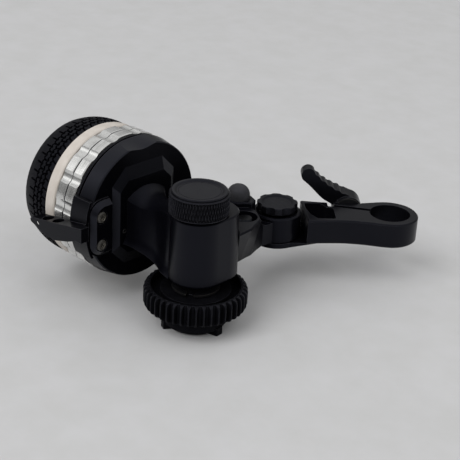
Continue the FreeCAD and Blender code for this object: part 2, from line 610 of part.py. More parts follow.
def button_spring():
    """Coil spring under the button, as a ribbed sleeve: one rib for each turn."""
    low, high = LINK_TOP - SPRING_LOW, BUTTON_LOW + SPRING_POCKET - SEAT_FIT
    pitch = (high - low) / SPRING_TURNS
    outside = [(SPRING_R - 0.4 * (i % 2), low + pitch / 2 * i) for i in range(2 * SPRING_TURNS + 1)]
    return drive_turned([(SPRING_R - 0.8, low)] + outside + [(SPRING_R - 0.8, high)], BUTTON_AT)


def latch_pin():
    """Hardened latch pin, standing in the link's recess."""
    pin = zcyl(LATCH_R, LINK_TOP - RECESS_DEPTH, LINK_TOP - 0.7, LATCH_AT.x, LATCH_AT.y)
    crown = edges_at(pin, lambda c, e: c.z > LINK_TOP - 1)
    return pin.makeChamfer(0.5, crown)


# ---- post and drum ----------------------------------------------------------------------
NECK_STATIONS = [       # distance from the drive axis, half width, foot, side edge and crown heights
    (BOSS_FACE, 8.8, 14.2, 30.4, 33.7),
    (23.2, 7.1, 13.4, 28.7, 31.9),
    (20.6, 6.0, 12.4, 28.0, 31.1),
    (17.6, 5.3, 11.5, 28.3, 30.9),
    (14.4, 5.0, 10.5, 29.3, 31.0),
    (11.5, 5.6, 9.7, 30.2, 31.2),
    (8.5, 6.8, 9.2, 30.8, 31.3),
    (4.5, 7.4, 8.6, 31.0, 31.4)]
NECK_FOOT_OUT = 2.0     # how far the neck's sides flare at their foot
NECK_FOOT_UP = 5.5


def saddle_section(distance, half_width, foot, side, crown):
    """Section of the neck: crowned top with sharp edges, straight sides, flared foot."""
    def at(y, z):
        return V(-distance, y, z)
    wide, up = half_width + NECK_FOOT_OUT, foot + NECK_FOOT_UP
    bow = (half_width + NECK_FOOT_OUT * 0.25, foot + NECK_FOOT_UP * 0.4)
    return Part.Wire([
        Part.makeLine(at(-wide, foot), at(wide, foot)),
        Part.Arc(at(wide, foot), at(*bow), at(half_width, up)).toShape(),
        Part.makeLine(at(half_width, up), at(half_width, side)),
        Part.Arc(at(half_width, side), at(0, crown), at(-half_width, side)).toShape(),
        Part.makeLine(at(-half_width, side), at(-half_width, up)),
        Part.Arc(at(-half_width, up), at(-bow[0], bow[1]), at(-wide, foot)).toShape()])


def neck():
    """Saddle-shaped neck: flares at the drum, waists, and flares again into the post."""
    return Part.makeLoft([saddle_section(*station) for station in NECK_STATIONS], True, False)


def post_body():
    """Post and neck in one casting, bored for the drive shaft, the mitre gears and the wheel shaft."""
    post = Part.makeLoft([post_oval(POST_R_BOTTOM, POST_BOTTOM), post_oval(POST_R_TOP, POST_TOP)], True)
    rims = edges_at(post, lambda c, e: c.z < POST_BOTTOM + 0.01)
    post = post.makeFillet(0.9, rims)
    rims = edges_at(post, lambda c, e: c.z > POST_TOP - 0.01)
    post = post.makeChamfer(0.4, rims)
    body = fused([post, neck(), rail(0)])
    low_seat = POST_BOTTOM + BEARING_W
    body = body.cut(zcyl(BEARING_R + SEAT_FIT, POST_BOTTOM - 1, low_seat + 0.1))
    body = body.cut(zcyl(MITRE_ROOM - 1.0, low_seat, low_seat + 3))
    body = body.cut(zcyl(MITRE_ROOM, low_seat + 1.5, UPPER_BUSH_LOW))
    body = body.cut(zcyl(DRIVE_SHAFT_R + 1.2 + SEAT_FIT, UPPER_BUSH_LOW - 1, POST_TOP + 1))
    body = body.cut(zcyl(5.0 + SEAT_FIT, POST_TOP - 0.7, POST_TOP + 1))
    body = body.cut(xcyl(MITRE_R + 0.9, 0, MITRE_BACK + 0.6))
    body = body.cut(xcyl(WHEEL_SHAFT_R + 0.5, 5, BOSS_FACE + 1))
    return body.removeSplitter()


def octagon(distance, shrink):
    """Octagon across the handwheel axis; shrink runs from 0 at its foot to 1 at its face."""
    side, end = BOSS_SIDE_SLOPE * shrink, BOSS_END_SLOPE * shrink
    w, h = BOSS_W / 2 - side, BOSS_H / 2 - end
    c = BOSS_CORNER - (side + end) * (1 - math.sqrt(0.5))
    corners = [(w, h - c), (w - c, h), (-w + c, h), (-w, h - c),
               (-w, -h + c), (-w + c, -h), (w - c, -h), (w, -h + c)]
    points = [V(-distance, y, WHEEL_Z + z) for y, z in corners]
    return Part.makePolygon(points + [points[0]])


def scoop():
    """Thumb scoop: a bell-shaped dip in the drum's rim that fades out towards the rings."""
    edge = 0.25         # the bell starts this far outside the rim, so its shoulders meet it softly
    wires = []
    ends = ((DRUM_BACK - 0.5, DRUM_BACK_R, SCOOP_DEPTH), (DRUM_FRONT + 0.5, DRUM_R, 0))
    for distance, radius, depth in ends:
        bell = []
        for i in range(-4, 5):
            angle = math.radians(SCOOP_AT + SCOOP_HALF * i / 4)
            r = radius + edge - (depth + edge) * math.cos(math.pi * i / 8) ** 2
            bell.append(WHEEL + V(-distance, r * math.cos(angle), r * math.sin(angle)))
        curve = Part.BSplineCurve()
        curve.interpolate(bell)
        outer = [bell[0], bell[0] + Z_AXIS * 6, bell[-1] + Z_AXIS * 6, bell[-1]]
        wires.append(Part.Wire([curve.toShape()] + Part.makePolygon(outer[::-1]).Edges))
    return Part.makeLoft(wires, True, True)


def drum_housing():
    """Drum behind the stop rings: faceted boss, thumb scoop, and a sleeve for the rings."""
    drum = wheel_turned([(DRUM_BACK, 0), (DRUM_BACK, DRUM_BACK_R - 0.4), (DRUM_BACK + 0.4, DRUM_BACK_R),
                         (DRUM_FRONT, DRUM_R), (DRUM_FRONT, SLEEVE_R), (SLEEVE_END, SLEEVE_R),
                         (SLEEVE_END, 0)])
    boss = Part.makeLoft([octagon(DRUM_BACK + 0.5, -0.3), octagon(BOSS_FACE, 1)], True, True)
    drum = fused([drum, boss])
    drum = drum.cut(scoop())
    drum = drum.cut(xcyl(SLEEVE_R - 2.2, DRUM_FRONT + 2.6, SLEEVE_END + 1))
    drum = drum.fuse(xcyl(BEARING_R + 2.0, DRUM_FRONT + 1, SLEEVE_END))
    drum = drum.cut(xcyl(WHEEL_SHAFT_R + 0.5, BOSS_FACE - 1, SLEEVE_END + 1))
    for near, far in inner_bearing_seats():
        drum = drum.cut(xcyl(BEARING_R + SEAT_FIT, near, far))
    bore = xcyl(1.6 + SEAT_FIT, BOSS_FACE + 0.6, DRUM_FRONT + 3.6, 0, HOUSING_SCREW_AT + BEARING_R)
    bore.rotate(WHEEL, X_AXIS, 45)
    for hole in along(bore, 4, 90, WHEEL, X_AXIS):
        drum = drum.cut(hole)
    return drum.removeSplitter()


def inner_bearing_seats():
    return [(BOSS_FACE - 1, BOSS_FACE + BEARING_W), (SLEEVE_END - BEARING_W, SLEEVE_END + 1)]


def bearing(kind, shaft_r, low):
    """Ball bearing as two rings and a shield between them."""
    tube = ztube if kind == "z" else xtube
    inner = tube(shaft_r + 1.1, shaft_r + SEAT_FIT, low, low + BEARING_W)
    outer = tube(BEARING_R, BEARING_R - 1.1, low, low + BEARING_W)
    shield = tube(BEARING_R - 1.1, shaft_r + 1.1, low + 0.3, low + BEARING_W - 0.3)
    return fused([inner, shield, outer])


def housing_screws():
    """Four screws inside the drum that hold it to the neck's boss."""
    at = HOUSING_SCREW_AT + BEARING_R
    shank = xcyl(1.6, BOSS_FACE + 0.7, DRUM_FRONT + 2.6, 0, at)
    screw = fused([shank, xcyl(2.6, DRUM_FRONT + 2.6, DRUM_FRONT + 4.4, 0, at)])
    screw.rotate(WHEEL, X_AXIS, 45)
    return Part.makeCompound(along(screw, 4, 90, WHEEL, X_AXIS))


# ---- handwheel --------------------------------------------------------------------------
def drag_ring():
    """Narrow ribbed ring beside the drum."""
    ring = wheel_turned([(DRUM_FRONT + 0.1, RING_BORE), (DRUM_FRONT + 0.1, STOP_RING_R - 0.75),
                         (DRUM_FRONT + 0.5, STOP_RING_R - 0.35), (DRAG_RING_FRONT - 0.2, STOP_RING_R - 0.35),
                         (DRAG_RING_FRONT, STOP_RING_R - 0.6), (DRAG_RING_FRONT, RING_BORE)])
    return ring


def stop_ring(back, front):
    """Stop ring with round-bottomed scallops between narrow lands."""
    ring = wheel_turned([(back, RING_BORE), (back, STOP_RING_R - 0.3), (back + 0.3, STOP_RING_R),
                         (front - 0.3, STOP_RING_R), (front, STOP_RING_R - 0.3), (front, RING_BORE)])
    scallop = xcyl(SCALLOP_R, back - 1, front + 1, 0, STOP_RING_R + SCALLOP_R - SCALLOP_DEPTH)
    scallop.rotate(WHEEL, X_AXIS, SCALLOP_AT)
    return ring.cut(Part.makeCompound(along(scallop, SCALLOPS, 360.0 / SCALLOPS, WHEEL, X_AXIS)))


def marking_disc():
    """Plain white marking disc clipped to the wheel's rear."""
    bore, floor = WHEEL_RIM_R - 5.3, DISC_BACK + 1.4
    return wheel_turned([(DISC_BACK, bore), (DISC_BACK, DISC_R - 0.5), (DISC_BACK + 0.4, DISC_R - 0.1),
                         (DISC_FRONT - 0.2, DISC_R), (DISC_FRONT, DISC_R - 0.2),
                         (DISC_FRONT, DISC_R - DISC_LIP), (floor, DISC_R - DISC_LIP), (floor, bore)])


def wheel_core():
    """Aluminium wheel: hub, web and the rim under the tyre."""
    rim, lip, bore = WHEEL_RIM_R, DISC_R - DISC_LIP - 0.1, WHEEL_SHAFT_R + SEAT_FIT
    return wheel_turned([(DISC_BACK + 1.5, bore), (DISC_BACK + 1.5, lip),
                         (DISC_FRONT + 0.1, lip), (DISC_FRONT + 0.1, rim), (TYRE_FRONT - 1.6, rim),
                         (TYRE_FRONT - 0.8, rim - 0.8), (TYRE_FRONT - 0.8, rim - 2.0),
                         (TYRE_FRONT - 4.0, rim - 2.4), (TYRE_FRONT - 4.0, WHEEL_SCREW_R + 1.6),
                         (TYRE_FRONT - 2.6, WHEEL_SCREW_R + 0.8), (TYRE_FRONT - 2.6, bore)])


def grip_tyre():
    """Rubber tyre: crowned, with round grooves between its rows of blocks."""
    inner = WHEEL_RIM_R + SEAT_FIT
    back, front = DISC_FRONT + 0.15, TYRE_FRONT - 0.3
    crown = Part.Arc(V(-back, 0, WHEEL_Z + TYRE_R - 0.5), V(-(back + 6.0), 0, WHEEL_Z + TYRE_R),
                     V(-(front - 1.2), 0, WHEEL_Z + TYRE_FRONT_R)).toShape()
    nose = Part.Arc(V(-(front - 1.2), 0, WHEEL_Z + TYRE_FRONT_R),
                    V(-(front - 0.3), 0, WHEEL_Z + TYRE_FRONT_R - 0.6),
                    V(-front, 0, WHEEL_Z + TYRE_FRONT_R - 1.4)).toShape()
    rest = Part.makePolygon([V(-front, 0, WHEEL_Z + TYRE_FRONT_R - 1.4), V(-front, 0, WHEEL_Z + inner),
                             V(-back, 0, WHEEL_Z + inner), V(-back, 0, WHEEL_Z + TYRE_R - 0.5)])
    tyre = Part.Face(Part.Wire([crown, nose] + rest.Edges)).revolve(WHEEL, X_AXIS, 360)
    for middle in TYRE_GROOVES:
        tyre = tyre.cut(xtube(TYRE_R + 2, TYRE_R - TYRE_GROOVE_DEPTH,
                              middle - TYRE_GROOVE_W / 2, middle + TYRE_GROOVE_W / 2))
    return tyre


def wheel_shaft():
    """Shaft from the wheel to the mitre gear, with the wheel clamped at its front end."""
    return wheel_turned([(MITRE_NOSE, 0), (MITRE_NOSE, WHEEL_SHAFT_R), (TYRE_FRONT - 2.7, WHEEL_SHAFT_R),
                         (TYRE_FRONT - 2.7, 1.6), (TYRE_FRONT - 9, 1.6), (TYRE_FRONT - 9, 0)])


def wheel_screw():
    """Centre screw with its broad flat head in the wheel's dished front."""
    head = xcyl(WHEEL_SCREW_R, TYRE_FRONT - 2.6, TYRE_FRONT - 1.2)
    rim = edges_at(head, lambda c, e: c.x < -(TYRE_FRONT - 1.3))
    head = head.makeChamfer(0.4, rim)
    shank = xcyl(1.55, TYRE_FRONT - 8.8, TYRE_FRONT - 2.6)
    hexagon = [WHEEL + V(-(TYRE_FRONT - 2.4), WHEEL_SCREW_KEY * math.cos(math.radians(60 * i)),
                         WHEEL_SCREW_KEY * math.sin(math.radians(60 * i))) for i in range(6)]
    socket = face_of(hexagon).extrude(V(-3, 0, 0))
    return fused([head, shank]).cut(socket)


def cover_screws():
    """Four small screws round the wheel's dished front."""
    at = WHEEL_RIM_R - COVER_SCREW_IN
    head = xcyl(1.7, TYRE_FRONT - 4.0, TYRE_FRONT - 3.2, 0, at)
    shank = xcyl(0.95, TYRE_FRONT - 8.0, TYRE_FRONT - 4.0, 0, at)
    screw = fused([head, shank]).cut(xcyl(0.8, TYRE_FRONT - 3.6, TYRE_FRONT - 2, 0, at))
    return along(screw, 4, 90, WHEEL, X_AXIS)


def friction_washer():
    """Damping washer between the drum's bearing boss and the turning wheel."""
    return xtube(BEARING_R + 1.8, WHEEL_SHAFT_R + 0.4, SLEEVE_END + 0.05, DISC_BACK + 1.4)


# ---- mitre gears and drive ---------------------------------------------------------------
def mitre_gear(bore):
    """Mitre gear with its axis on +Z, its apex at the origin and its teeth facing the apex."""
    half = math.radians(45)
    slant = MITRE_R / math.sin(half)
    small = slant - MITRE_FACE
    module = 2 * MITRE_R / MITRE_TEETH
    head, foot = module * 0.8, module * 1.1

    def cone_point(distance, lift):
        return (distance * math.sin(half) + lift * math.cos(half),
                -distance * math.cos(half) + lift * math.sin(half))
    tip_out, tip_in = cone_point(slant, head), cone_point(small, head * small / slant)
    root_out = cone_point(slant, -foot)
    back = (root_out[0] - 0.6, root_out[1] - 1.4)
    root_in = cone_point(small, -foot * small / slant)
    blank = turned([V(r, 0, z) for r, z in (
        (bore, root_in[1]), root_in, tip_in, tip_out, root_out, back, (bore, back[1]))], V(0, 0, 0), Z_AXIS)
    pitch = 2 * math.pi * MITRE_R / MITRE_TEETH

    def space(scale):
        points = []
        for lift, half_width in ((head * 1.6, pitch * 0.41), (0, pitch * 0.29), (-foot, pitch * 0.18)):
            r, z = cone_point(slant * scale, lift * scale)
            points.append((r, half_width * scale, z))
        ring = [V(r, w, z) for r, w, z in points] + [V(r, -w, z) for r, w, z in reversed(points)]
        return Part.makePolygon(ring + [ring[0]])
    cutter = Part.makeLoft([space(1.25), space(0.5)], True, True)
    for one in along(cutter, MITRE_TEETH, 360.0 / MITRE_TEETH, V(0, 0, 0), Z_AXIS):
        blank = blank.cut(one)
    return blank


def drive_mitre():
    """Mitre gear on the drive shaft, below the handwheel axis."""
    gear = mitre_gear(DRIVE_SHAFT_R + SEAT_FIT)
    gear.rotate(V(0, 0, 0), Z_AXIS, 180.0 / MITRE_TEETH)
    gear.translate(WHEEL)
    return gear


def wheel_mitre():
    """Mitre gear on the handwheel shaft."""
    gear = mitre_gear(WHEEL_SHAFT_R + SEAT_FIT)
    gear.rotate(V(0, 0, 0), Y_AXIS, 90)
    gear.translate(WHEEL)
    return gear


def tooth_outline():
    """Drive gear's tooth profile: straight flanks with rounded tips, one closed wire."""
    pitch_r = GEAR_MODULE * GEAR_TEETH / 2
    tip_r = pitch_r + GEAR_MODULE
    root_r = pitch_r - 1.2 * GEAR_MODULE
    step = 2 * math.pi / GEAR_TEETH

    def at(radius, angle, z=0.0):
        return V(radius * math.cos(angle), radius * math.sin(angle), z)
    edges = []
    for i in range(GEAR_TEETH):
        a = i * step
        foot, tip = step * 0.3, step * 0.09
        start, end = a - foot, a + foot
        edges.append(Part.makeLine(at(root_r, start), at(tip_r - 0.12, a - tip)))
        edges.append(Part.Arc(at(tip_r - 0.12, a - tip), at(tip_r, a), at(tip_r - 0.12, a + tip)).toShape())
        edges.append(Part.makeLine(at(tip_r - 0.12, a + tip), at(root_r, end)))
        after = a + step - foot
        floor = at(root_r - 0.15, (end + after) / 2)
        edges.append(Part.Arc(at(root_r, end), floor, at(root_r, after)).toShape())
    return Part.Wire(edges)


def drive_gear():
    """43-tooth 0.8-module focus gear with rounded tooth ends and a recessed web."""
    tip_r = GEAR_MODULE * GEAR_TEETH / 2 + GEAR_MODULE
    blank = Part.Face(tooth_outline()).extrude(V(0, 0, GEAR_TOP - GEAR_BOTTOM))
    blank.translate(V(0, 0, GEAR_BOTTOM))
    blank.rotate(V(0, 0, 0), Z_AXIS, GEAR_TOOTH_AT)
    c, shoulder, clear = GEAR_END_ROUND, GEAR_END_ROUND * 0.3, tip_r + 0.05
    barrel = drive_turned([(0, GEAR_BOTTOM), (tip_r - c, GEAR_BOTTOM),
                           (tip_r - shoulder, GEAR_BOTTOM + shoulder), (clear, GEAR_BOTTOM + c),
                           (clear, GEAR_TOP - c), (tip_r - shoulder, GEAR_TOP - shoulder),
                           (tip_r - c, GEAR_TOP), (0, GEAR_TOP)])
    gear = blank.common(barrel)
    gear = gear.cut(ztube(GEAR_WEB_OUT, GEAR_WEB_IN, GEAR_TOP - 3.4, GEAR_TOP + 1))
    gear = gear.cut(zcyl(GEAR_WEB_IN + 0.1, GEAR_TOP - 1.4, GEAR_TOP + 1))
    return gear.cut(zcyl(HUB_SPIGOT_R + SEAT_FIT, GEAR_BOTTOM - 1, GEAR_TOP + 1))


def gear_hub():
    """Quick-release hub under the gear: flange with three lugs and a spigot through the gear."""
    flange = drive_turned([(0, HUB_BOTTOM), (HUB_R - 0.9, HUB_BOTTOM), (HUB_R, HUB_BOTTOM + 0.9),
                           (HUB_R, GEAR_BOTTOM), (0, GEAR_BOTTOM)])
    spigot = zcyl(HUB_SPIGOT_R, GEAR_BOTTOM - 1, GEAR_TOP - 1.0)
    body = fused([flange, spigot])
    lug = face_of([V(HUB_R - 3.2, -2.2, HUB_BOTTOM - LUG_DROP), V(HUB_R + 0.7, -1.5, HUB_BOTTOM - LUG_DROP),
                   V(HUB_R + 0.7, 1.5, HUB_BOTTOM - LUG_DROP), V(HUB_R - 3.2, 2.2, HUB_BOTTOM - LUG_DROP)])
    lug = lug.extrude(V(0, 0, LUG_DROP + 1.6))
    lug = lug.makeFillet(0.5, [e for e in lug.Edges if abs(e.tangentAt(0).z) > 0.9])
    lug.rotate(V(0, 0, 0), Z_AXIS, 3)
    body = fused([body] + along(lug, 3, 120, V(0, 0, 0), Z_AXIS))
    body = body.cut(zcyl(DRIVE_SHAFT_R + SEAT_FIT, HUB_BOTTOM - 5, GEAR_TOP + 1))
    return body.cut(zcyl(6.0, HUB_BOTTOM - 5, HUB_BOTTOM + 2.4))


def hub_nut():
    """Slotted nut in the hub's hollow underside, on the end of the drive shaft."""
    nut = zcyl(5.0, HUB_BOTTOM + 0.6, HUB_BOTTOM + 2.4)
    nut = nut.cut(zcyl(DRIVE_SHAFT_R + SEAT_FIT, HUB_BOTTOM - 1, HUB_BOTTOM + 3))
    return nut.cut(block(-6, 6, -0.6, 0.6, HUB_BOTTOM - 1, HUB_BOTTOM + 1.2))


def gear_collar():
    """Flanged collar between the post's lower bearing and the gear."""
    bore, top = DRIVE_SHAFT_R + SEAT_FIT, POST_BOTTOM - 0.05
    return drive_turned([(bore, GEAR_TOP - 1.0), (5.9, GEAR_TOP - 1.0), (5.9, GEAR_TOP + 1.4),
                         (4.0, top), (bore, top)])


def snap_ring():
    """Steel snap ring round the hub's spigot; its open ends show above the web."""
    ring = ztube(HUB_SPIGOT_R + 1.7, 6.0, GEAR_TOP - 1.0, GEAR_TOP - 0.3)
    gap = block(-1.4, 1.4, -12, -4, 0, 10)
    gap.rotate(V(0, 0, 0), Z_AXIS, 30)
    return ring.cut(gap)


def drive_shaft():
    """Upright shaft from the hub nut to the knurled knob."""
    return zcyl(DRIVE_SHAFT_R, HUB_BOTTOM + 0.8, KNOB_TOP - 2.4)


def upper_bush():
    """Flanged bronze bush at the top of the post."""
    inner = DRIVE_SHAFT_R + RUN_FIT
    return drive_turned([(inner, UPPER_BUSH_LOW), (DRIVE_SHAFT_R + 1.2, UPPER_BUSH_LOW),
                         (DRIVE_SHAFT_R + 1.2, POST_TOP - 0.7), (5.0, POST_TOP - 0.7),
                         (5.0, POST_TOP + 0.3), (inner, POST_TOP + 0.3)])


def knurled_knob():
    """Gear lock knob: fluted skirt, chamfered rim and a shallow dished top."""
    knob = drive_turned([(0, KNOB_BOTTOM), (KNOB_R - 0.5, KNOB_BOTTOM), (KNOB_R, KNOB_BOTTOM + 0.5),
                         (KNOB_R, KNOB_TOP - 0.8), (KNOB_R - 1.0, KNOB_TOP), (KNOB_R - 2.0, KNOB_TOP),
                         (KNOB_R - 2.5, KNOB_TOP - 0.7), (0, KNOB_TOP - 0.7)])
    step = 360.0 / KNOB_FLUTES
    flute = face_of([V(KNOB_R - 0.28, 0, 0), V(KNOB_R + 0.6, -0.75, 0), V(KNOB_R + 0.6, 0.75, 0)])
    flute = flute.extrude(V(0, 0, KNOB_TOP - KNOB_BOTTOM - 2.6))
    flute.translate(V(0, 0, KNOB_BOTTOM + 1.1))
    knob = knob.cut(Part.makeCompound(along(flute, KNOB_FLUTES, step, V(0, 0, 0), Z_AXIS)))
    return knob.cut(zcyl(KNOB_INSERT_R + SEAT_FIT, KNOB_BOTTOM - 1, KNOB_TOP - 2.0))


def knob_insert():
    """Threaded brass insert inside the knurled knob."""
    body = zcyl(KNOB_INSERT_R, KNOB_BOTTOM, KNOB_TOP - 2.0)
    return body.cut(zcyl(DRIVE_SHAFT_R + RUN_FIT, KNOB_BOTTOM - 1, KNOB_TOP - 2.3))


# ---- indicator --------------------------------------------------------------------------
def plate_outline(x, grow):
    """Upright outline with two round corners on its outer side."""
    inner, outer, h = -PLATE_INNER, -PLATE_OUTER - grow, PLATE_HALF + grow
    c = PLATE_CORNER
    k = c * (1 - math.sqrt(0.5))

    def at(y, z):
        return V(x, y, WHEEL_Z - PLATE_DROP + z)
    return Part.Wire([
        Part.makeLine(at(inner, -h), at(inner, h)), Part.makeLine(at(inner, h), at(outer + c, h)),
        Part.Arc(at(outer + c, h), at(outer + k, h - k), at(outer, h - c)).toShape(),
        Part.makeLine(at(outer, h - c), at(outer, -h + c)),
        Part.Arc(at(outer, -h + c), at(outer + k, -h + k), at(outer + c, -h)).toShape(),
        Part.makeLine(at(outer + c, -h), at(inner, -h))])


def index_bracket():
    """Pointer bracket: foot on the drum's back, saddle over its rim, pointer beside the rings."""
    foot = Part.Face(plate_outline(-DRUM_BACK, PLATE_EDGE)).extrude(V(FOOT_T, 0, 0))
    ring = xcyl(SADDLE_R, DRUM_BACK - FOOT_T, DRAG_RING_FRONT - 0.6)
    ring = ring.cut(xcyl(DRUM_R + 0.1, DRUM_BACK - 2, DRAG_RING_FRONT))
    half, middle = PLATE_HALF + PLATE_EDGE, WHEEL_Z - PLATE_DROP
    saddle = ring.common(block(-60, 0, -60, -PLATE_INNER - 1.6, middle - half, middle + half))
    heel, tip = DRUM_BACK - 3.3, DISC_FRONT + INDEX_TIP
    profile = [(heel, 2.9), (heel + 2.9, 2.4), (tip - 11.1, 0.0), (tip - 1.3, -1.6), (tip, -2.4),
               (tip - 0.5, -3.4), (tip - 2.3, -4.0), (tip - 4.5, -4.9), (tip - 8.2, -5.9),
               (tip - 13.1, -6.2), (heel + 7.2, -4.2), (heel + 2.9, -2.5), (heel, -2.4)]
    pointer = face_of([V(-d, -INDEX_OUT, WHEEL_Z + z) for d, z in profile])
    pointer = pointer.extrude(V(0, INDEX_OUT - INDEX_IN + 1.6, 0))
    pointer = pointer.cut(xcyl(INDEX_IN, DRUM_FRONT, TYRE_FRONT))
    pointer = pointer.cut(xcyl(DRUM_R + 0.1, DRUM_BACK - 6, DRUM_FRONT + 1))
    pointer = pointer.cut(block(-DRUM_BACK + FOOT_T, 0, -INDEX_OUT + 3.2, 0, 0, 60))
    body = fused([foot, saddle, pointer])
    for i in range(2):
        body = body.cut(zcyl(INDEX_HOLE_R, WHEEL_Z - 12, WHEEL_Z + 12,
                             -tip + INDEX_HOLE_IN + i * INDEX_HOLE_SPACING, -(INDEX_IN + INDEX_OUT) / 2))
    for z in SCREW_Z:
        body = body.cut(xcyl(1.6, BOSS_FACE - 6, DRUM_BACK + 1, -SCREW_Y, z))
    return body.removeSplitter()


def index_plate():
    """Clamp plate over the bracket's foot, bevelled on its outer side."""
    back = -DRUM_BACK + FOOT_T
    plate = Part.Face(plate_outline(back, 0)).extrude(V(PLATE_T, 0, 0))
    outer = edges_at(plate, lambda c, e: c.x > back + PLATE_T - 0.01 and c.y < -PLATE_OUTER + PLATE_CORNER)
    plate = plate.makeChamfer(PLATE_T - 0.3, outer)
    for z in SCREW_Z:
        plate = plate.cut(xcyl(1.6, 0, DRUM_BACK, -SCREW_Y, z))
        plate = plate.cut(xcyl(2.3, 0, DRUM_BACK - FOOT_T - PLATE_T + 0.9, -SCREW_Y, z))
    return plate


def index_screws():
    """Two button-head socket screws, half sunk in the plate."""
    under = DRUM_BACK - FOOT_T - PLATE_T + 0.9
    screws = []
    for z in SCREW_Z:
        head = xcyl(2.0, under - 1.3, under, -SCREW_Y, z)
        head = head.makeFillet(0.8, edges_at(head, lambda c, e: c.x > -(under - 1.2)))
        shank = xcyl(1.5, under, DRUM_BACK + 4.0, -SCREW_Y, z)
        socket = xcyl(0.95, under - 2, under - 0.6, -SCREW_Y, z)
        screws.append(fused([head, shank]).cut(socket))
    return screws


def main():
    save("clamp_arm", clamp_arm())
    save("clamp_bolt", clamp_bolt())
    save("lever_washer", lever_washer())
    save("clamp_lever", clamp_lever())
    save("lever_screw", lever_screw())
    save("hinge_bolt", hinge_bolt())
    save("hinge_bush", hinge_bush())
    save("hinge_washer", hinge_washer())
    save("hinge_knob", hinge_knob())
    save("hinge_insert", hinge_insert())
    save("swing_link", swing_link())
    save("release_button", release_button())
    save("button_spring", button_spring())
    save("latch_pin", latch_pin())
    save("post_body", post_body())
    drum = drum_housing()
    screws = index_screws()
    for screw in screws:
        drum = drum.cut(screw)
    save("drum_housing", drum)
    save("housing_screws", housing_screws())
    save("upper_bush", upper_bush())
    save("lower_bearing", bearing("z", DRIVE_SHAFT_R, POST_BOTTOM))
    save("wheel_bearing_rear", bearing("x", WHEEL_SHAFT_R, BOSS_FACE))
    save("wheel_bearing_front", bearing("x", WHEEL_SHAFT_R, SLEEVE_END - BEARING_W))
    save("index_bracket", index_bracket())
    save("index_plate", index_plate())
    save("index_screws", Part.makeCompound(screws))
    save("drag_ring", drag_ring())
    ring_back = DRAG_RING_FRONT + GAP
    save("stop_ring_rear", stop_ring(ring_back, ring_back + RING_SPACE))
    ring_back += RING_SPACE + GAP
    save("stop_ring_front", stop_ring(ring_back, ring_back + RING_SPACE))
    save("marking_disc", marking_disc())
    core = wheel_core()
    small_screws = cover_screws()
    for screw in small_screws:
        core = core.cut(screw)
    save("wheel_core", core)
    save("cover_screws", Part.makeCompound(small_screws))
    save("grip_tyre", grip_tyre())
    save("wheel_shaft", wheel_shaft())
    save("wheel_screw", wheel_screw())
    save("friction_washer", friction_washer())
    save("wheel_mitre", wheel_mitre())
    save("drive_mitre", drive_mitre())
    save("drive_gear", drive_gear())
    save("gear_hub", gear_hub())
    save("hub_nut", hub_nut())
    save("gear_collar", gear_collar())
    save("snap_ring", snap_ring())
    save("drive_shaft", drive_shaft())
    save("knurled_knob", knurled_knob())
    save("knob_insert", knob_insert())


main()
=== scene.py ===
import math

import bmesh
import bpy
from mathutils import Euler, Matrix, Vector


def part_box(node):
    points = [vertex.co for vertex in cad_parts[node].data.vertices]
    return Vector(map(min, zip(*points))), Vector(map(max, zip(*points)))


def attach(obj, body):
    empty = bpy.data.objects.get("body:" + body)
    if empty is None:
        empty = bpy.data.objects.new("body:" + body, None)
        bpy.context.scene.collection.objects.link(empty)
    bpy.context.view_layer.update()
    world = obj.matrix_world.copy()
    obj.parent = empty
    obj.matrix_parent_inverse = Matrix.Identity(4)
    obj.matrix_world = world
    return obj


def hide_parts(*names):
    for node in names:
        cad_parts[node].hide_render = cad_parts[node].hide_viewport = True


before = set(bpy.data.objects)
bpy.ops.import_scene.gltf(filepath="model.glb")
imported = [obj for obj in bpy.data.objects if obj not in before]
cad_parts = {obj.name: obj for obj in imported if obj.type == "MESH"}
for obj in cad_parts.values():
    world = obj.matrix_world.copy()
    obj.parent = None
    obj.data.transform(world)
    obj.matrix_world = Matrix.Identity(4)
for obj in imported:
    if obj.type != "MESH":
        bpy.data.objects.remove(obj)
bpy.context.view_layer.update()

# Metres, with the details' sizes in millimetres times MM.
MM = 0.001
FULL_TURN = 2 * math.pi


def middle(node):
    """Middle of a CAD node's box."""
    low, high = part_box(node)
    return (low + high) / 2


# The drive axis stands at the focus gear, and the handwheel's axis crosses it at the wheel shaft's height.
DRIVE = middle("drive_shaft")
WHEEL = Vector((DRIVE.x, middle("wheel_shaft").y, middle("wheel_shaft").z))
ALONG_WHEEL, UPRIGHT = (1.0, 0.0, 0.0), (0.0, 0.0, 1.0)
FLOOR_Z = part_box("gear_hub")[0].z
TO_WHEEL = (0.0, -math.pi / 2, 0.0)     # turns a ring's upright axis into the handwheel's


# ---- nodes and shapes ---------------------------------------------------------------------
def add(tree, kind, inputs=None, **settings):
    """Adds one node: its settings, then its inputs as plain values or as links from other sockets."""
    made = tree.nodes.new(kind)
    for name, value in settings.items():
        setattr(made, name, value)
    for key, value in (inputs or {}).items():
        if isinstance(value, bpy.types.NodeSocket):
            tree.links.new(value, made.inputs[key])
        else:
            made.inputs[key].default_value = value
    return made


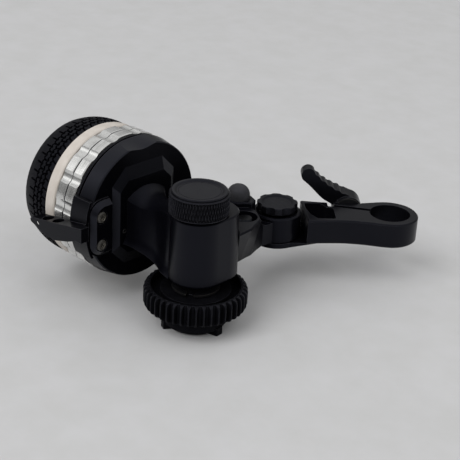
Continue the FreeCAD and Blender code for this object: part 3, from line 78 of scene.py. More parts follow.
def lathe(name, profile, steps):
    """Closed mesh turned about Z from (radius, height) pairs in mm; a radius of 0 closes on the axis."""
    points, rows, faces = [], [], []
    for radius, height in profile:
        first = len(points)
        if radius == 0:
            points.append((0.0, 0.0, height * MM))
            rows.append([first] * steps)
            continue
        for i in range(steps):
            turn = FULL_TURN * i / steps
            points.append((radius * MM * math.cos(turn), radius * MM * math.sin(turn), height * MM))
        rows.append([first + i for i in range(steps)])
    for low, high in zip(rows, rows[1:]):
        for i in range(steps):
            j = (i + 1) % steps
            corners = list(dict.fromkeys((low[i], low[j], high[j], high[i])))
            if len(corners) > 2:
                faces.append(corners)
    mesh = bpy.data.meshes.new(name)
    mesh.from_pydata(points, [], faces)
    return mesh


def joined(name, meshes):
    """One mesh from several."""
    whole = bmesh.new()
    for mesh in meshes:
        whole.from_mesh(mesh)
    result = bpy.data.meshes.new(name)
    whole.to_mesh(result)
    whole.free()
    return result


def placed(mesh, centre, turned=(0.0, 0.0, 0.0)):
    """Turns a mesh and moves it to its place on the part."""
    mesh.transform(Matrix.Translation(centre) @ Euler(turned).to_matrix().to_4x4())
    return mesh


def piece(name, mesh, material, body, replaced=None, crease=30):
    """Finished object on a body, smooth except over edges sharper than the crease."""
    mesh.materials.clear()
    mesh.materials.append(material)
    mesh.shade_smooth()
    mesh.set_sharp_from_angle(angle=math.radians(crease))
    made = bpy.data.objects.new(name, mesh)
    bpy.context.collection.objects.link(made)
    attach(made, body)
    if replaced:
        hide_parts(replaced)
    return made


def ring_tree():
    """Node tree that repeats a slice round an upright axis, then turns the ring and moves it to its place."""
    tree = bpy.data.node_groups.new("ring_of_copies", "GeometryNodeTree")
    sizes = (("Copies", "NodeSocketInt", 12), ("First Turn", "NodeSocketFloat", 0.0),
             ("Turned", "NodeSocketVector", (0, 0, 0)), ("Centre", "NodeSocketVector", (0, 0, 0)))
    tree.interface.new_socket("Slice", in_out="INPUT", socket_type="NodeSocketGeometry")
    for name, kind, value in sizes:
        tree.interface.new_socket(name, in_out="INPUT", socket_type=kind).default_value = value
    tree.interface.new_socket("Material", in_out="INPUT", socket_type="NodeSocketMaterial")
    tree.interface.new_socket("Ring", in_out="OUTPUT", socket_type="NodeSocketGeometry")
    given = add(tree, "NodeGroupInput").outputs

    points = add(tree, "GeometryNodeMeshLine", {"Count": given["Copies"], "Offset": (0, 0, 0)}).outputs[0]
    index = add(tree, "GeometryNodeInputIndex").outputs[0]
    step = add(tree, "ShaderNodeMath", {0: FULL_TURN, 1: given["Copies"]}, operation="DIVIDE").outputs[0]
    turn = add(tree, "ShaderNodeMath", {0: index, 1: step, 2: given["First Turn"]},
               operation="MULTIPLY_ADD").outputs[0]
    upright = add(tree, "ShaderNodeCombineXYZ", {"Z": turn}).outputs[0]
    facing = add(tree, "FunctionNodeEulerToRotation", {"Euler": upright}).outputs[0]
    copies = add(tree, "GeometryNodeInstanceOnPoints",
                 {"Points": points, "Instance": given["Slice"], "Rotation": facing}).outputs[0]
    tilt = add(tree, "FunctionNodeEulerToRotation", {"Euler": given["Turned"]}).outputs[0]
    moved = add(tree, "GeometryNodeTransform",
                {"Geometry": copies, "Translation": given["Centre"], "Rotation": tilt}).outputs[0]
    solid = add(tree, "GeometryNodeRealizeInstances", {"Geometry": moved}).outputs[0]
    welded = add(tree, "GeometryNodeMergeByDistance", {"Geometry": solid, "Distance": 0.001 * MM}).outputs[0]
    finished = add(tree, "GeometryNodeSetMaterial", {"Geometry": welded, "Material": given["Material"]})
    add(tree, "NodeGroupOutput", {"Ring": finished.outputs[0]})
    return tree


def ring_of(ring_slice, material, sizes):
    """Plain mesh that the ring tree makes from a slice and its named sizes."""
    source = bpy.data.objects.new(ring_slice.name, ring_slice)
    bpy.context.collection.objects.link(source)
    ring = source.modifiers.new("ring", "NODES")
    ring.node_group = RING_TREE
    sockets = {item.name: item.identifier for item in RING_TREE.interface.items_tree
               if item.in_out == "INPUT"}
    for name, value in {**sizes, "Material": material}.items():
        ring[sockets[name]] = value
    evaluated = source.evaluated_get(bpy.context.evaluated_depsgraph_get())
    mesh = bpy.data.meshes.new_from_object(evaluated)
    bpy.data.objects.remove(source)
    return mesh


def slice_mesh(name, rows):
    """Slice of a ring from rows of (radius, turn, height) points in mm, closed once its copies are welded."""
    width = len(rows[0])
    points = [(radius * MM * math.cos(turn), radius * MM * math.sin(turn), height * MM)
              for row in rows for radius, turn, height in row]
    count = len(points)
    faces = [(a, a + 1, (a + width + 1) % count, (a + width) % count)
             for i in range(len(rows)) for a in range(i * width, (i + 1) * width - 1)]
    mesh = bpy.data.meshes.new(name)
    mesh.from_pydata(points, [], faces)
    return mesh


def wave(turns):
    """Triangle wave: 0 at whole turns and 1 half way between."""
    return 1 - abs(2 * (turns % 1.0) - 1)


def held(share):
    """A share kept between 0 and 1."""
    return min(1.0, max(0.0, share))


# ---- tyre: sizes in mm, distances from the drive axis ---------------------------------------
TREAD_COLUMNS = 48
TREAD_DEPTH = 1.0
TREAD_GROOVE = 0.5
BLOCK_EDGE = 0.12               # slope of a block's sides, across the grooves
ROW_GROOVE = 0.62
ROW_SLOPE = 0.1                 # slope of a block's ends
ZIGZAG = 0.3                    # how far the grooves between rows swing to each side
ZIGZAG_FROM, ZIGZAG_FADE_IN = 50.5, 1.2
ZIGZAG_TO, ZIGZAG_FADE_OUT = 58.5, 2.0
TYRE_BORE = 21.35
ROW_EDGES = (49.65, 52.1, 53.9, 56.0, 61.0)     # where the tread's rows end
ROW_LEAN = (-0.45, 0.5, -0.4, -0.3, 0.2)        # how far the side grooves lean round the tyre there
GROOVES_END, GROOVES_FADE = 59.3, 0.5   # the side grooves run out here and the shoulder is smooth
CROWN = ((49.65, 24.8), (55.65, 25.3), (62.5, 23.4))    # three points of the tread's round crown
NOSE = ((62.5, 0.0), (63.1, -0.25), (63.5, -0.7), (63.7, -1.4))     # drops below the crown's last point
LIP = ((63.7, 0.3), (63.4, 0.0))        # the bore's chamfered front edge, as heights over the bore


def crown_radius(distance):
    """Radius of the tread's top, from the circle through the crown's three points."""
    (x1, y1), (x2, y2), (x3, y3) = CROWN
    s1, s2, s3 = [x ** 2 + y ** 2 for x, y in CROWN]
    twice = 2 * (x1 * (y2 - y3) - y1 * (x2 - x3) + x2 * y3 - x3 * y2)
    cx = (s1 * (y2 - y3) + s2 * (y3 - y1) + s3 * (y1 - y2)) / twice
    cy = (s1 * (x3 - x2) + s2 * (x1 - x3) + s3 * (x2 - x1)) / twice
    return cy + math.sqrt((x2 - cx) ** 2 + (y2 - cy) ** 2 - (distance - cx) ** 2)


def row_stations(low, high, first, last):
    """Places along one tread row with their heights, from groove floor to block top and back."""
    half = ROW_GROOVE / 2
    start = [(low, 1.0)] if first else [(low, 0.0), (low + half, 0.0), (low + half + ROW_SLOPE, 1.0)]
    end = [(high, 1.0)] if last else [(high - half - ROW_SLOPE, 1.0), (high - half, 0.0)]
    steps = 6 if last else 2
    top_start, top_end = start[-1][0], end[0][0]
    top = [(top_start + (top_end - top_start) * i / steps, 1.0) for i in range(1, steps)]
    return start + top + end


def tread_slice():
    """One column of the tyre: blocks in four rows, every other row half a block on, then the nose."""
    pitch = FULL_TURN / TREAD_COLUMNS
    crown = CROWN[1][1]             # the radius at which lengths round the tyre become angles
    half, edge = TREAD_GROOVE / 2 / crown, BLOCK_EDGE / crown
    quarter = [0, half, half + edge, pitch / 4, pitch / 2 - half - edge, pitch / 2 - half]
    across = quarter + [pitch / 2 + turn for turn in quarter] + [pitch]
    rows = []
    for i, (low, high) in enumerate(zip(ROW_EDGES, ROW_EDGES[1:])):
        for distance, height in row_stations(low, high, i == 0, i == len(ROW_EDGES) - 2):
            share = (distance - low) / (high - low)
            lean = (ROW_LEAN[i] + (ROW_LEAN[i + 1] - ROW_LEAN[i]) * share) / crown
            grooved = held((GROOVES_END - distance) / GROOVES_FADE)
            swing = ZIGZAG * held(min((distance - ZIGZAG_FROM) / ZIGZAG_FADE_IN,
                                      (ZIGZAG_TO - distance) / ZIGZAG_FADE_OUT))
            row = []
            for turn in across:
                from_groove = pitch / 2 * wave(turn / pitch + (0.5 if i % 2 else 0.0))
                block = held((from_groove - half) / edge)
                sunk = 1 - min(height, 1 - (1 - block) * grooved)
                at = distance + swing * (2 * wave(2 * turn / pitch) - 1)
                row.append((crown_radius(at) - TREAD_DEPTH * sunk, turn + lean, at))
            rows.append(row)
    front, back = ROW_LEAN[-1] / crown, ROW_LEAN[0] / crown
    smooth = [(CROWN[-1][1] + drop, at) for at, drop in NOSE] + [(TYRE_BORE + over, at) for at, over in LIP]
    rows += [[(radius, turn + front, at) for turn in across] for radius, at in smooth]
    rows.append([(TYRE_BORE, turn + back, ROW_EDGES[0]) for turn in across])
    return slice_mesh("tread_slice", rows)


def make_tyre(material):
    """Rubber tyre whose tread is one leaning column of blocks, repeated round the wheel."""
    ring = ring_of(tread_slice(), material,
                   {"Copies": TREAD_COLUMNS, "Turned": TO_WHEEL, "Centre": tuple(WHEEL)})
    return piece("grip_tyre_tread", ring, material, "handwheel", "grip_tyre")


# ---- gear lock knob: sizes in mm, heights over its underside ---------------------------------
KNURL_COLUMNS = 64              # diamonds round the skirt
KNURL_ACROSS = 8                # steps across one diamond
KNURL_ROWS = 26                 # steps up the band
KNURL_LOW, KNURL_HIGH = 0.6, 7.1
KNURL_DEPTH = 0.75
KNURL_WALL = 0.2                # behind the grooves' floor
KNURL_FLANK = 1.5               # steepness of the diamonds' sides, which leaves them a flat top
DIAMOND_HEIGHT = 4.0
KNOB_STEPS = 160
CAP_R = 9.5                     # cap above the skirt's groove
NECK_R = CAP_R - 0.3            # floor of that groove
RING_R = 3.6                    # edge of the disc's flat middle
DISC_R = 7.7                    # sunk disc in the cap
DISC_DROP = 0.55


def knurl_slice(radius):
    """One column of the skirt's knurl: two steep families of V grooves that leave long diamonds."""
    pitch = FULL_TURN / KNURL_COLUMNS
    across = [j / KNURL_ACROSS for j in range(KNURL_ACROSS + 1)]
    rows = []
    for i in range(KNURL_ROWS + 1):
        height = KNURL_LOW + (KNURL_HIGH - KNURL_LOW) * i / KNURL_ROWS
        along = height / DIAMOND_HEIGHT
        row = []
        for share in across:
            raised = min(1.0, KNURL_FLANK * min(wave(share + along), wave(share - along)))
            row.append((radius - KNURL_DEPTH * (1 - raised), share * pitch, height))
        rows.append(row)
    inside = radius - KNURL_DEPTH - KNURL_WALL
    rows += [[(inside, share * pitch, height) for share in across] for height in (KNURL_HIGH, KNURL_LOW)]
    return slice_mesh("knurl_slice", rows)


def make_knob(material):
    """Gear lock knob: diamond knurl up to a thin bright edge, a groove, then a cap with a sunk disc."""
    low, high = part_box("knurled_knob")
    r, top = (high.x - low.x) / 2 / MM, (high.z - low.z) / MM
    floor, sunk, neck = r - KNURL_DEPTH - 0.1, top - DISC_DROP, KNURL_HIGH + 0.4
    skirt = [(0, 0), (r - 0.5, 0), (r - 0.05, 0.3), (r - 0.05, KNURL_LOW - 0.1), (floor, KNURL_LOW),
             (floor, KNURL_HIGH), (r, KNURL_HIGH), (r, KNURL_HIGH + 0.12), (r - 0.35, neck), (NECK_R, neck)]
    cap = [(NECK_R, neck + 0.22), (CAP_R, neck + 0.26), (CAP_R, top - 0.2), (CAP_R - 0.2, top)]
    disc = [(DISC_R + 0.75, top), (DISC_R + 0.5, top - 0.1), (DISC_R + 0.1, sunk + 0.1), (DISC_R - 0.1, sunk),
            (DISC_R - 0.5, sunk), (DISC_R - 0.55, sunk - 0.12), (DISC_R - 0.7, sunk - 0.12),
            (DISC_R - 0.75, sunk), (RING_R, sunk - 0.05), (0, sunk - 0.05)]
    centre = Vector((DRIVE.x, DRIVE.y, low.z))
    turned = placed(lathe("knob_body", skirt + cap + disc, KNOB_STEPS), centre)
    knurl = ring_of(knurl_slice(r), material, {"Copies": KNURL_COLUMNS, "Centre": tuple(centre)})
    return piece("gear_lock_knob", joined("gear_lock_knob", [turned, knurl]), material, "gear_lock",
                 "knurled_knob", 20)


# ---- drag ring and the painted shade between the stop rings: sizes in mm ----------------------
DRAG_RIBS = 150
RIB_STEPS = 4                   # steps across one rib
RIB_DEPTH = 0.16
DRAG_GAP, DRAG_GAP_DEPTH = 1.0, 1.5     # open groove between the ribs and the drum
DRAG_BACK_EDGE, DRAG_FRONT_EDGE = 0.15, 0.3     # chamfers
DRAG_BORE = 20.06


def make_drag_ring(material):
    """Narrow drag ring with fine straight ribs, chamfered, with an open groove before the drum."""
    low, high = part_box("drag_ring")
    radius = (high.z - low.z) / 2 / MM
    back, front = (DRIVE.x - high.x) / MM, (DRIVE.x - low.x) / MM
    gap = back + DRAG_GAP
    pitch = FULL_TURN / DRAG_RIBS
    outline = [(radius - DRAG_GAP_DEPTH, back, 0), (radius - DRAG_GAP_DEPTH, gap, 0),
               (radius - DRAG_BACK_EDGE, gap, 0), (radius, gap + DRAG_BACK_EDGE, 1),
               (radius, front - DRAG_FRONT_EDGE, 1), (radius - DRAG_FRONT_EDGE, front, 0),
               (DRAG_BORE, front, 0), (DRAG_BORE, back, 0)]
    rows = []
    for r, height, ribbed in outline:
        shares = [j / RIB_STEPS for j in range(RIB_STEPS + 1)]
        rows.append([(r - RIB_DEPTH * ribbed * (1 - wave(share)), share * pitch, height) for share in shares])
    ring = ring_of(slice_mesh("drag_rib", rows), material,
                   {"Copies": DRAG_RIBS, "Turned": TO_WHEEL, "Centre": tuple(WHEEL)})
    return piece("ribbed_drag_ring", ring, material, "drag_ring", "drag_ring", 20)


SCALLOPS = 16                   # hollows round the stop rings
SCALLOP_TURN = math.radians(-13.2)      # the first one's place from the top
SCALLOP_R, SCALLOP_DEPTH = 4.4, 0.75
SCALLOP_STEPS = 24
GAP_SHADE_HALF = 0.16              # half the painted shade ring's thickness
GAP_SHADE_DROP, GAP_SHADE_DEPTH = 0.13, 1.2   # its outer and inner edge, below the rings' edge


def make_ring_gap_shade(material):
    """Thin black ring of painted shade that shows as a wavy dark line between the two scalloped stop rings.
    """
    rear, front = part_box("stop_ring_rear"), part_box("stop_ring_front")
    between = (DRIVE.x - (rear[0].x + front[1].x) / 2) / MM
    radius = (rear[1].z - rear[0].z) / 2 / MM
    centre = radius + SCALLOP_R - SCALLOP_DEPTH
    edge = []
    for j in range(SCALLOP_STEPS + 1):
        turn = FULL_TURN / SCALLOPS * (j / SCALLOP_STEPS - 0.5)
        inside = SCALLOP_R ** 2 - (centre * math.sin(turn)) ** 2
        hollow = centre * math.cos(turn) - math.sqrt(inside) if inside > 0 else radius
        edge.append((min(radius, hollow), turn))
    corners = ((-GAP_SHADE_HALF, GAP_SHADE_DROP), (GAP_SHADE_HALF, GAP_SHADE_DROP),
               (GAP_SHADE_HALF, GAP_SHADE_DEPTH), (-GAP_SHADE_HALF, GAP_SHADE_DEPTH))
    rows = [[(r - drop, turn, between + side) for r, turn in edge] for side, drop in corners]
    ring = ring_of(slice_mesh("gap_shade_wave", rows), material,
                   {"Copies": SCALLOPS, "First Turn": SCALLOP_TURN, "Turned": TO_WHEEL,
                    "Centre": tuple(WHEEL)})
    return piece("stop_ring_gap_shade", ring, material, "stop_ring_rear")


# ---- set screws and pointer: sizes in mm ------------------------------------------------------
SET_SCREWS = (-9.9, 9.9)        # across the boss from the wheel's axis
SET_SCREW_DROP = 4.8            # below that axis
SET_SCREW_R = 0.85
SET_SCREW_STEPS = 24


def make_set_screws(material):
    """Two small cup-ended set screws, sunk to their sockets in the boss's flat face."""
    profile = [(0, -1.2), (SET_SCREW_R, -1.2), (SET_SCREW_R, 0.02), (SET_SCREW_R - 0.12, 0.1),
               (SET_SCREW_R - 0.35, 0.1), (SET_SCREW_R - 0.42, -0.5), (0, -0.55)]
    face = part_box("drum_housing")[1].x
    meshes = []
    for across in SET_SCREWS:
        at = Vector((face, WHEEL.y + across * MM, WHEEL.z - SET_SCREW_DROP * MM))
        meshes.append(placed(lathe("set_screw", profile, SET_SCREW_STEPS), at, (0.0, math.pi / 2, 0.0)))
    return piece("boss_set_screws", joined("boss_set_screws", meshes), material, "gearbox")


MARK_ENDS = ((-46.85, -2.3), (-46.1, -3.2))     # along X from the drive axis, and up from the wheel's
MARK_HALF_WIDTH, MARK_THICK = 0.1, 0.1
MARK_SLANT = 0.8                # rise of the mark's ends across its width
MARK_PROUD = 0.01


def make_pointer_mark(material):
    """White paint in the short slanting line at the pointer's tip."""
    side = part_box("index_bracket")[0].y - MARK_PROUD * MM
    corners = ((-MARK_HALF_WIDTH, 0), (MARK_HALF_WIDTH, 0),
               (MARK_HALF_WIDTH, MARK_THICK), (-MARK_HALF_WIDTH, MARK_THICK))
    points = [(DRIVE.x + (x + dx) * MM, side + dy * MM, WHEEL.z + (z + dx * MARK_SLANT) * MM)
              for x, z in MARK_ENDS for dx, dy in corners]
    faces = [(0, 1, 2, 3), (7, 6, 5, 4)]
    faces += [(i + 4, (i + 1) % 4 + 4, (i + 1) % 4, i) for i in range(4)]
    mesh = bpy.data.meshes.new("pointer_mark")
    mesh.from_pydata(points, [], faces)
    return piece("pointer_mark", mesh, material, "gearbox")


# ---- parts of a finish --------------------------------------------------------------------------
COLOUR_A, COLOUR_B, COLOUR_OUT = 6, 7, 2        # the colour sockets of a Mix node
USUAL_GLOSS = 0.5               # the shader's usual level
USUAL_MIRROR = 0.04             # what a surface of the shader's usual IOR mirrors head on
EDGE_SAMPLES = 6
CORNER_REACH_MM = 28            # how near a wall has to stand to take gloss off a black part, as painted shade in its corners


def linear(colour):
    """sRGB hex to the linear colour that a shader takes."""
    shares = [int(colour[i:i + 2], 16) / 255 for i in (1, 3, 5)]
    return [s / 12.92 if s <= 0.04045 else ((s + 0.055) / 1.055) ** 2.4 for s in shares] + [1.0]


def per_metre(size_mm):
    """Texture scale for a feature of this size."""
    return 1 / (size_mm * MM)


def new_material(name, gloss=USUAL_GLOSS):
    """Empty material with its tree, its shader and its object coordinates. Bare metal keeps the usual gloss
    and IOR. Less gloss lowers the IOR, as on the black parts: they mirror a little bluer than the room and
    lose their gloss in their corners, as painted shade."""
    material = bpy.data.materials.new(name)
    material.use_nodes = True
    tree = material.node_tree
    tree.nodes.clear()
    shader = add(tree, "ShaderNodeBsdfPrincipled")
    if gloss < USUAL_GLOSS:
        mirrored = math.sqrt(USUAL_MIRROR * gloss / USUAL_GLOSS)
        shader.inputs["IOR"].default_value = (1 + mirrored) / (1 - mirrored)
        shader.inputs["Specular Tint"].default_value = linear("#E3E7FF")
        # painted shade: black parts lose their gloss in corners and hollows, where walls stand near
        openness = add(tree, "ShaderNodeAmbientOcclusion", {"Distance": CORNER_REACH_MM * MM},
                       samples=EDGE_SAMPLES).outputs["AO"]
        level = add(tree, "ShaderNodeMapRange", {"Value": openness, "From Min": 0.35, "From Max": 0.8,
                                                 "To Min": 0.0, "To Max": USUAL_GLOSS})
        tree.links.new(level.outputs["Result"], shader.inputs["Specular IOR Level"])
    add(tree, "ShaderNodeOutputMaterial", {"Surface": shader.outputs[0]})
    place = add(tree, "ShaderNodeTexCoord").outputs["Object"]
    return material, tree, shader, place


def mottle(tree, place, size_mm, low, high):
    """Soft blotches of about this size, which run from low to high."""
    noise = add(tree, "ShaderNodeTexNoise", {"Vector": place, "Scale": per_metre(size_mm), "Detail": 3.0,
                                             "Roughness": 0.6}).outputs[0]
    return add(tree, "ShaderNodeMapRange", {"Value": noise, "From Min": 0.3, "From Max": 0.7,
                                            "To Min": low, "To Max": high}).outputs["Result"]


def two_tone(tree, place, size_mm, dark, light):
    """Two colours in blotches of about this size."""
    blotches = mottle(tree, place, size_mm, 0.0, 1.0)
    return add(tree, "ShaderNodeMix", {0: blotches, COLOUR_A: linear(dark), COLOUR_B: linear(light)},
               data_type="RGBA").outputs[COLOUR_OUT]


def sharp_edges(tree, radius_mm):
    """1 on sharp edges and 0 elsewhere: how far a rounded normal leaves the flat one."""
    soft = add(tree, "ShaderNodeBevel", {"Radius": radius_mm * MM}, samples=EDGE_SAMPLES).outputs["Normal"]
    flat = add(tree, "ShaderNodeNewGeometry").outputs["Normal"]
    along = add(tree, "ShaderNodeVectorMath", {0: soft, 1: flat}, operation="DOT_PRODUCT").outputs["Value"]
    return add(tree, "ShaderNodeMapRange", {"Value": along, "From Min": 0.72, "From Max": 0.98,
                                            "To Min": 1.0, "To Max": 0.0}).outputs["Result"]


def worn_and_highlit_edges(tree, place, colour, edge_mm, wear_and_highlight):
    """The colour with its sharp edges turned to another one in patches: partly wear, partly a painted edge
    highlight.
    """
    share = add(tree, "ShaderNodeMath", {0: sharp_edges(tree, edge_mm), 1: mottle(tree, place, 1.6, 0.3, 0.85)},
                operation="MULTIPLY").outputs[0]
    return add(tree, "ShaderNodeMix", {0: share, COLOUR_A: colour, COLOUR_B: linear(wear_and_highlight)},
               data_type="RGBA").outputs[COLOUR_OUT]


def raised(tree, shader, height, depth_mm, soft_mm):
    """Gives the shader relief from a height factor, over edges rounded by soft_mm."""
    edge = add(tree, "ShaderNodeBevel", {"Radius": soft_mm * MM}, samples=EDGE_SAMPLES).outputs["Normal"]
    bump = add(tree, "ShaderNodeBump", {"Height": height, "Distance": depth_mm * MM, "Strength": 1.0,
                                        "Normal": edge})
    tree.links.new(bump.outputs["Normal"], shader.inputs["Normal"])


def grained(tree, shader, place, grain_mm, depth_mm, soft_mm):
    """Gives the shader the relief of a fine even grain."""
    noise = add(tree, "ShaderNodeTexNoise", {"Vector": place, "Scale": per_metre(grain_mm), "Detail": 2.0,
                                             "Roughness": 0.6}).outputs[0]
    raised(tree, shader, noise, depth_mm, soft_mm)


def less_gloss(tree, share):
    """Multiplies the shader's gloss by a share."""
    gloss = next(node for node in tree.nodes if node.type == "BSDF_PRINCIPLED").inputs["Specular IOR Level"]
    dulled = add(tree, "ShaderNodeMath", {0: gloss.links[0].from_socket, 1: share}, operation="MULTIPLY")
    tree.links.new(dulled.outputs[0], gloss)


# ---- finishes -----------------------------------------------------------------------------------
# edge colours: partly wear and partly a painted highlight on sharp edges
GREY_WEAR_AND_HIGHLIGHT, DARK_WEAR_AND_HIGHLIGHT, PLASTIC_WEAR_AND_HIGHLIGHT = "#5A5A60", "#26262A", "#3A3A40"


def blasted_anodised(name, dark, light, rough, gloss=0.2, wear_and_highlight=GREY_WEAR_AND_HIGHLIGHT):
    """Aluminium, bead blasted and dyed black: an even satin black with a fine sparkle, greyer in patches on
    its sharp edges, partly from handling and partly as a painted highlight. The 0.1 mm blast grit is drawn at
    0.3 mm so that it shows."""
    material, tree, shader, place = new_material(name, gloss)
    colour = worn_and_highlit_edges(tree, place, two_tone(tree, place, 9.0, dark, light), 0.26, wear_and_highlight)
    tree.links.new(colour, shader.inputs["Base Color"])
    tree.links.new(mottle(tree, place, 1.1, rough - 0.02, rough + 0.03), shader.inputs["Roughness"])
    grained(tree, shader, place, 0.3, 0.01, 0.26)
    return material


def shade_neck_hollow(material):
    """Takes the gloss off the neck's sides near the drum, except on faces turned upward: painted shade in the
    neck's hollow.
    """
    tree = material.node_tree
    own = add(tree, "ShaderNodeTexCoord").outputs
    across = add(tree, "ShaderNodeSeparateXYZ", {0: own["Object"]}).outputs["X"]
    upward = add(tree, "ShaderNodeSeparateXYZ", {0: own["Normal"]}).outputs["Z"]
    far = add(tree, "ShaderNodeMapRange", {"Value": across, "From Min": DRIVE.x - 24 * MM,
                                           "From Max": DRIVE.x - 14 * MM, "To Min": 0.03, "To Max": 1.0})
    facing_up = add(tree, "ShaderNodeMapRange", {"Value": upward, "From Min": 0.35, "From Max": 0.75,
                                                 "To Min": 0.0, "To Max": 1.0})
    kept = add(tree, "ShaderNodeMath", {0: far.outputs["Result"], 1: facing_up.outputs["Result"]},
               operation="MAXIMUM")
    less_gloss(tree, kept.outputs[0])
    return material


def shade_post_facing_faces(material):
    """Takes the gloss off the flat faces turned to the post: painted shade, as they would mirror the dark
    post.
    """
    tree = material.node_tree
    normal = add(tree, "ShaderNodeTexCoord").outputs["Normal"]
    backward = add(tree, "ShaderNodeSeparateXYZ", {0: normal}).outputs["X"]
    kept = add(tree, "ShaderNodeMapRange", {"Value": backward, "From Min": 0.93, "From Max": 0.99,
                                            "To Min": 1.0, "To Max": 0.2})
    less_gloss(tree, kept.outputs["Result"])
    return material


def turned_metal(name, axis_point, axis, dark, light, rough, pitch_mm, depth_mm,
                 metallic=1.0, gloss=USUAL_GLOSS, bright_edge_mm=0.0):
    """Metal off the lathe: fine concentric marks round its axis catch the light as broken streaks.
    The real feed of 0.1 mm is drawn at the pitch given so that it shows."""
    material, tree, shader, place = new_material(name, gloss)
    centred = add(tree, "ShaderNodeVectorMath", {0: place, 1: axis_point}, operation="SUBTRACT").outputs[0]
    depth = add(tree, "ShaderNodeVectorMath", {0: centred, 1: axis}, operation="DOT_PRODUCT").outputs["Value"]
    foot = add(tree, "ShaderNodeVectorMath", {0: axis, "Scale": depth}, operation="SCALE").outputs[0]
    spoke = add(tree, "ShaderNodeVectorMath", {0: centred, 1: foot}, operation="SUBTRACT").outputs[0]
    radius = add(tree, "ShaderNodeVectorMath", {0: spoke}, operation="LENGTH").outputs["Value"]
    round_axis = add(tree, "ShaderNodeCombineXYZ", {"X": depth, "Y": radius}).outputs[0]
    marks = add(tree, "ShaderNodeTexNoise", {"Vector": round_axis, "Scale": per_metre(pitch_mm),
                                             "Detail": 3.0, "Roughness": 0.7}).outputs[0]
    cloud = add(tree, "ShaderNodeTexNoise", {"Vector": place, "Scale": per_metre(5.0), "Detail": 3.0,
                                             "Roughness": 0.6}).outputs[0]
    both = add(tree, "ShaderNodeMath", {0: marks, 1: cloud}, operation="ADD").outputs[0]
    lighter = add(tree, "ShaderNodeMapRange", {"Value": both, "From Min": 0.75, "From Max": 1.25})
    colour = add(tree, "ShaderNodeMix", {0: lighter.outputs["Result"], COLOUR_A: linear(dark),
                                         COLOUR_B: linear(light)}, data_type="RGBA").outputs[COLOUR_OUT]
    # painted highlight and wear on the sharp edges
    if bright_edge_mm:
        colour = worn_and_highlit_edges(tree, place, colour, bright_edge_mm, GREY_WEAR_AND_HIGHLIGHT)
    tree.links.new(colour, shader.inputs["Base Color"])
    shader.inputs["Metallic"].default_value = metallic
    uneven = add(tree, "ShaderNodeMapRange", {"Value": marks, "From Min": 0.3, "From Max": 0.7,
                                              "To Min": rough - 0.05, "To Max": rough + 0.07})
    tree.links.new(uneven.outputs["Result"], shader.inputs["Roughness"])
    raised(tree, shader, marks, depth_mm, 0.1)
    return material


def moulded(name, dark, light, rough, grain_mm, depth_mm, gloss=0.2, bright_edge_mm=0.0):
    """Moulded plastic or rubber: the mould's fine eroded grain and a slightly mottled gloss. The real
    grain of 0.1 mm or less is drawn at the size given so that it shows."""
    material, tree, shader, place = new_material(name, gloss)
    colour = two_tone(tree, place, 4.0, dark, light)
    # painted highlight and wear on the sharp edges
    if bright_edge_mm:
        colour = worn_and_highlit_edges(tree, place, colour, bright_edge_mm, PLASTIC_WEAR_AND_HIGHLIGHT)
    tree.links.new(colour, shader.inputs["Base Color"])
    tree.links.new(mottle(tree, place, 1.3, rough - 0.05, rough + 0.06), shader.inputs["Roughness"])
    grained(tree, shader, place, grain_mm, depth_mm, 0.12)
    return material


def blackened_steel(name, dark, bright, bright_edge_mm):
    """Screws of oil-blackened steel: the black has worn to bare metal where the key and fingers rub."""
    material, tree, shader, place = new_material(name)
    bare = add(tree, "ShaderNodeMath", {0: sharp_edges(tree, bright_edge_mm), 1: mottle(tree, place, 0.7, 0.25, 1.0)},
               operation="MULTIPLY").outputs[0]
    colour = add(tree, "ShaderNodeMix", {0: bare, COLOUR_A: linear(dark), COLOUR_B: linear(bright)},
                 data_type="RGBA").outputs[COLOUR_OUT]
    tree.links.new(colour, shader.inputs["Base Color"])
    tree.links.new(bare, shader.inputs["Metallic"])
    tree.links.new(mottle(tree, place, 0.5, 0.3, 0.42), shader.inputs["Roughness"])
    grained(tree, shader, place, 0.25, 0.01, 0.12)
    return material


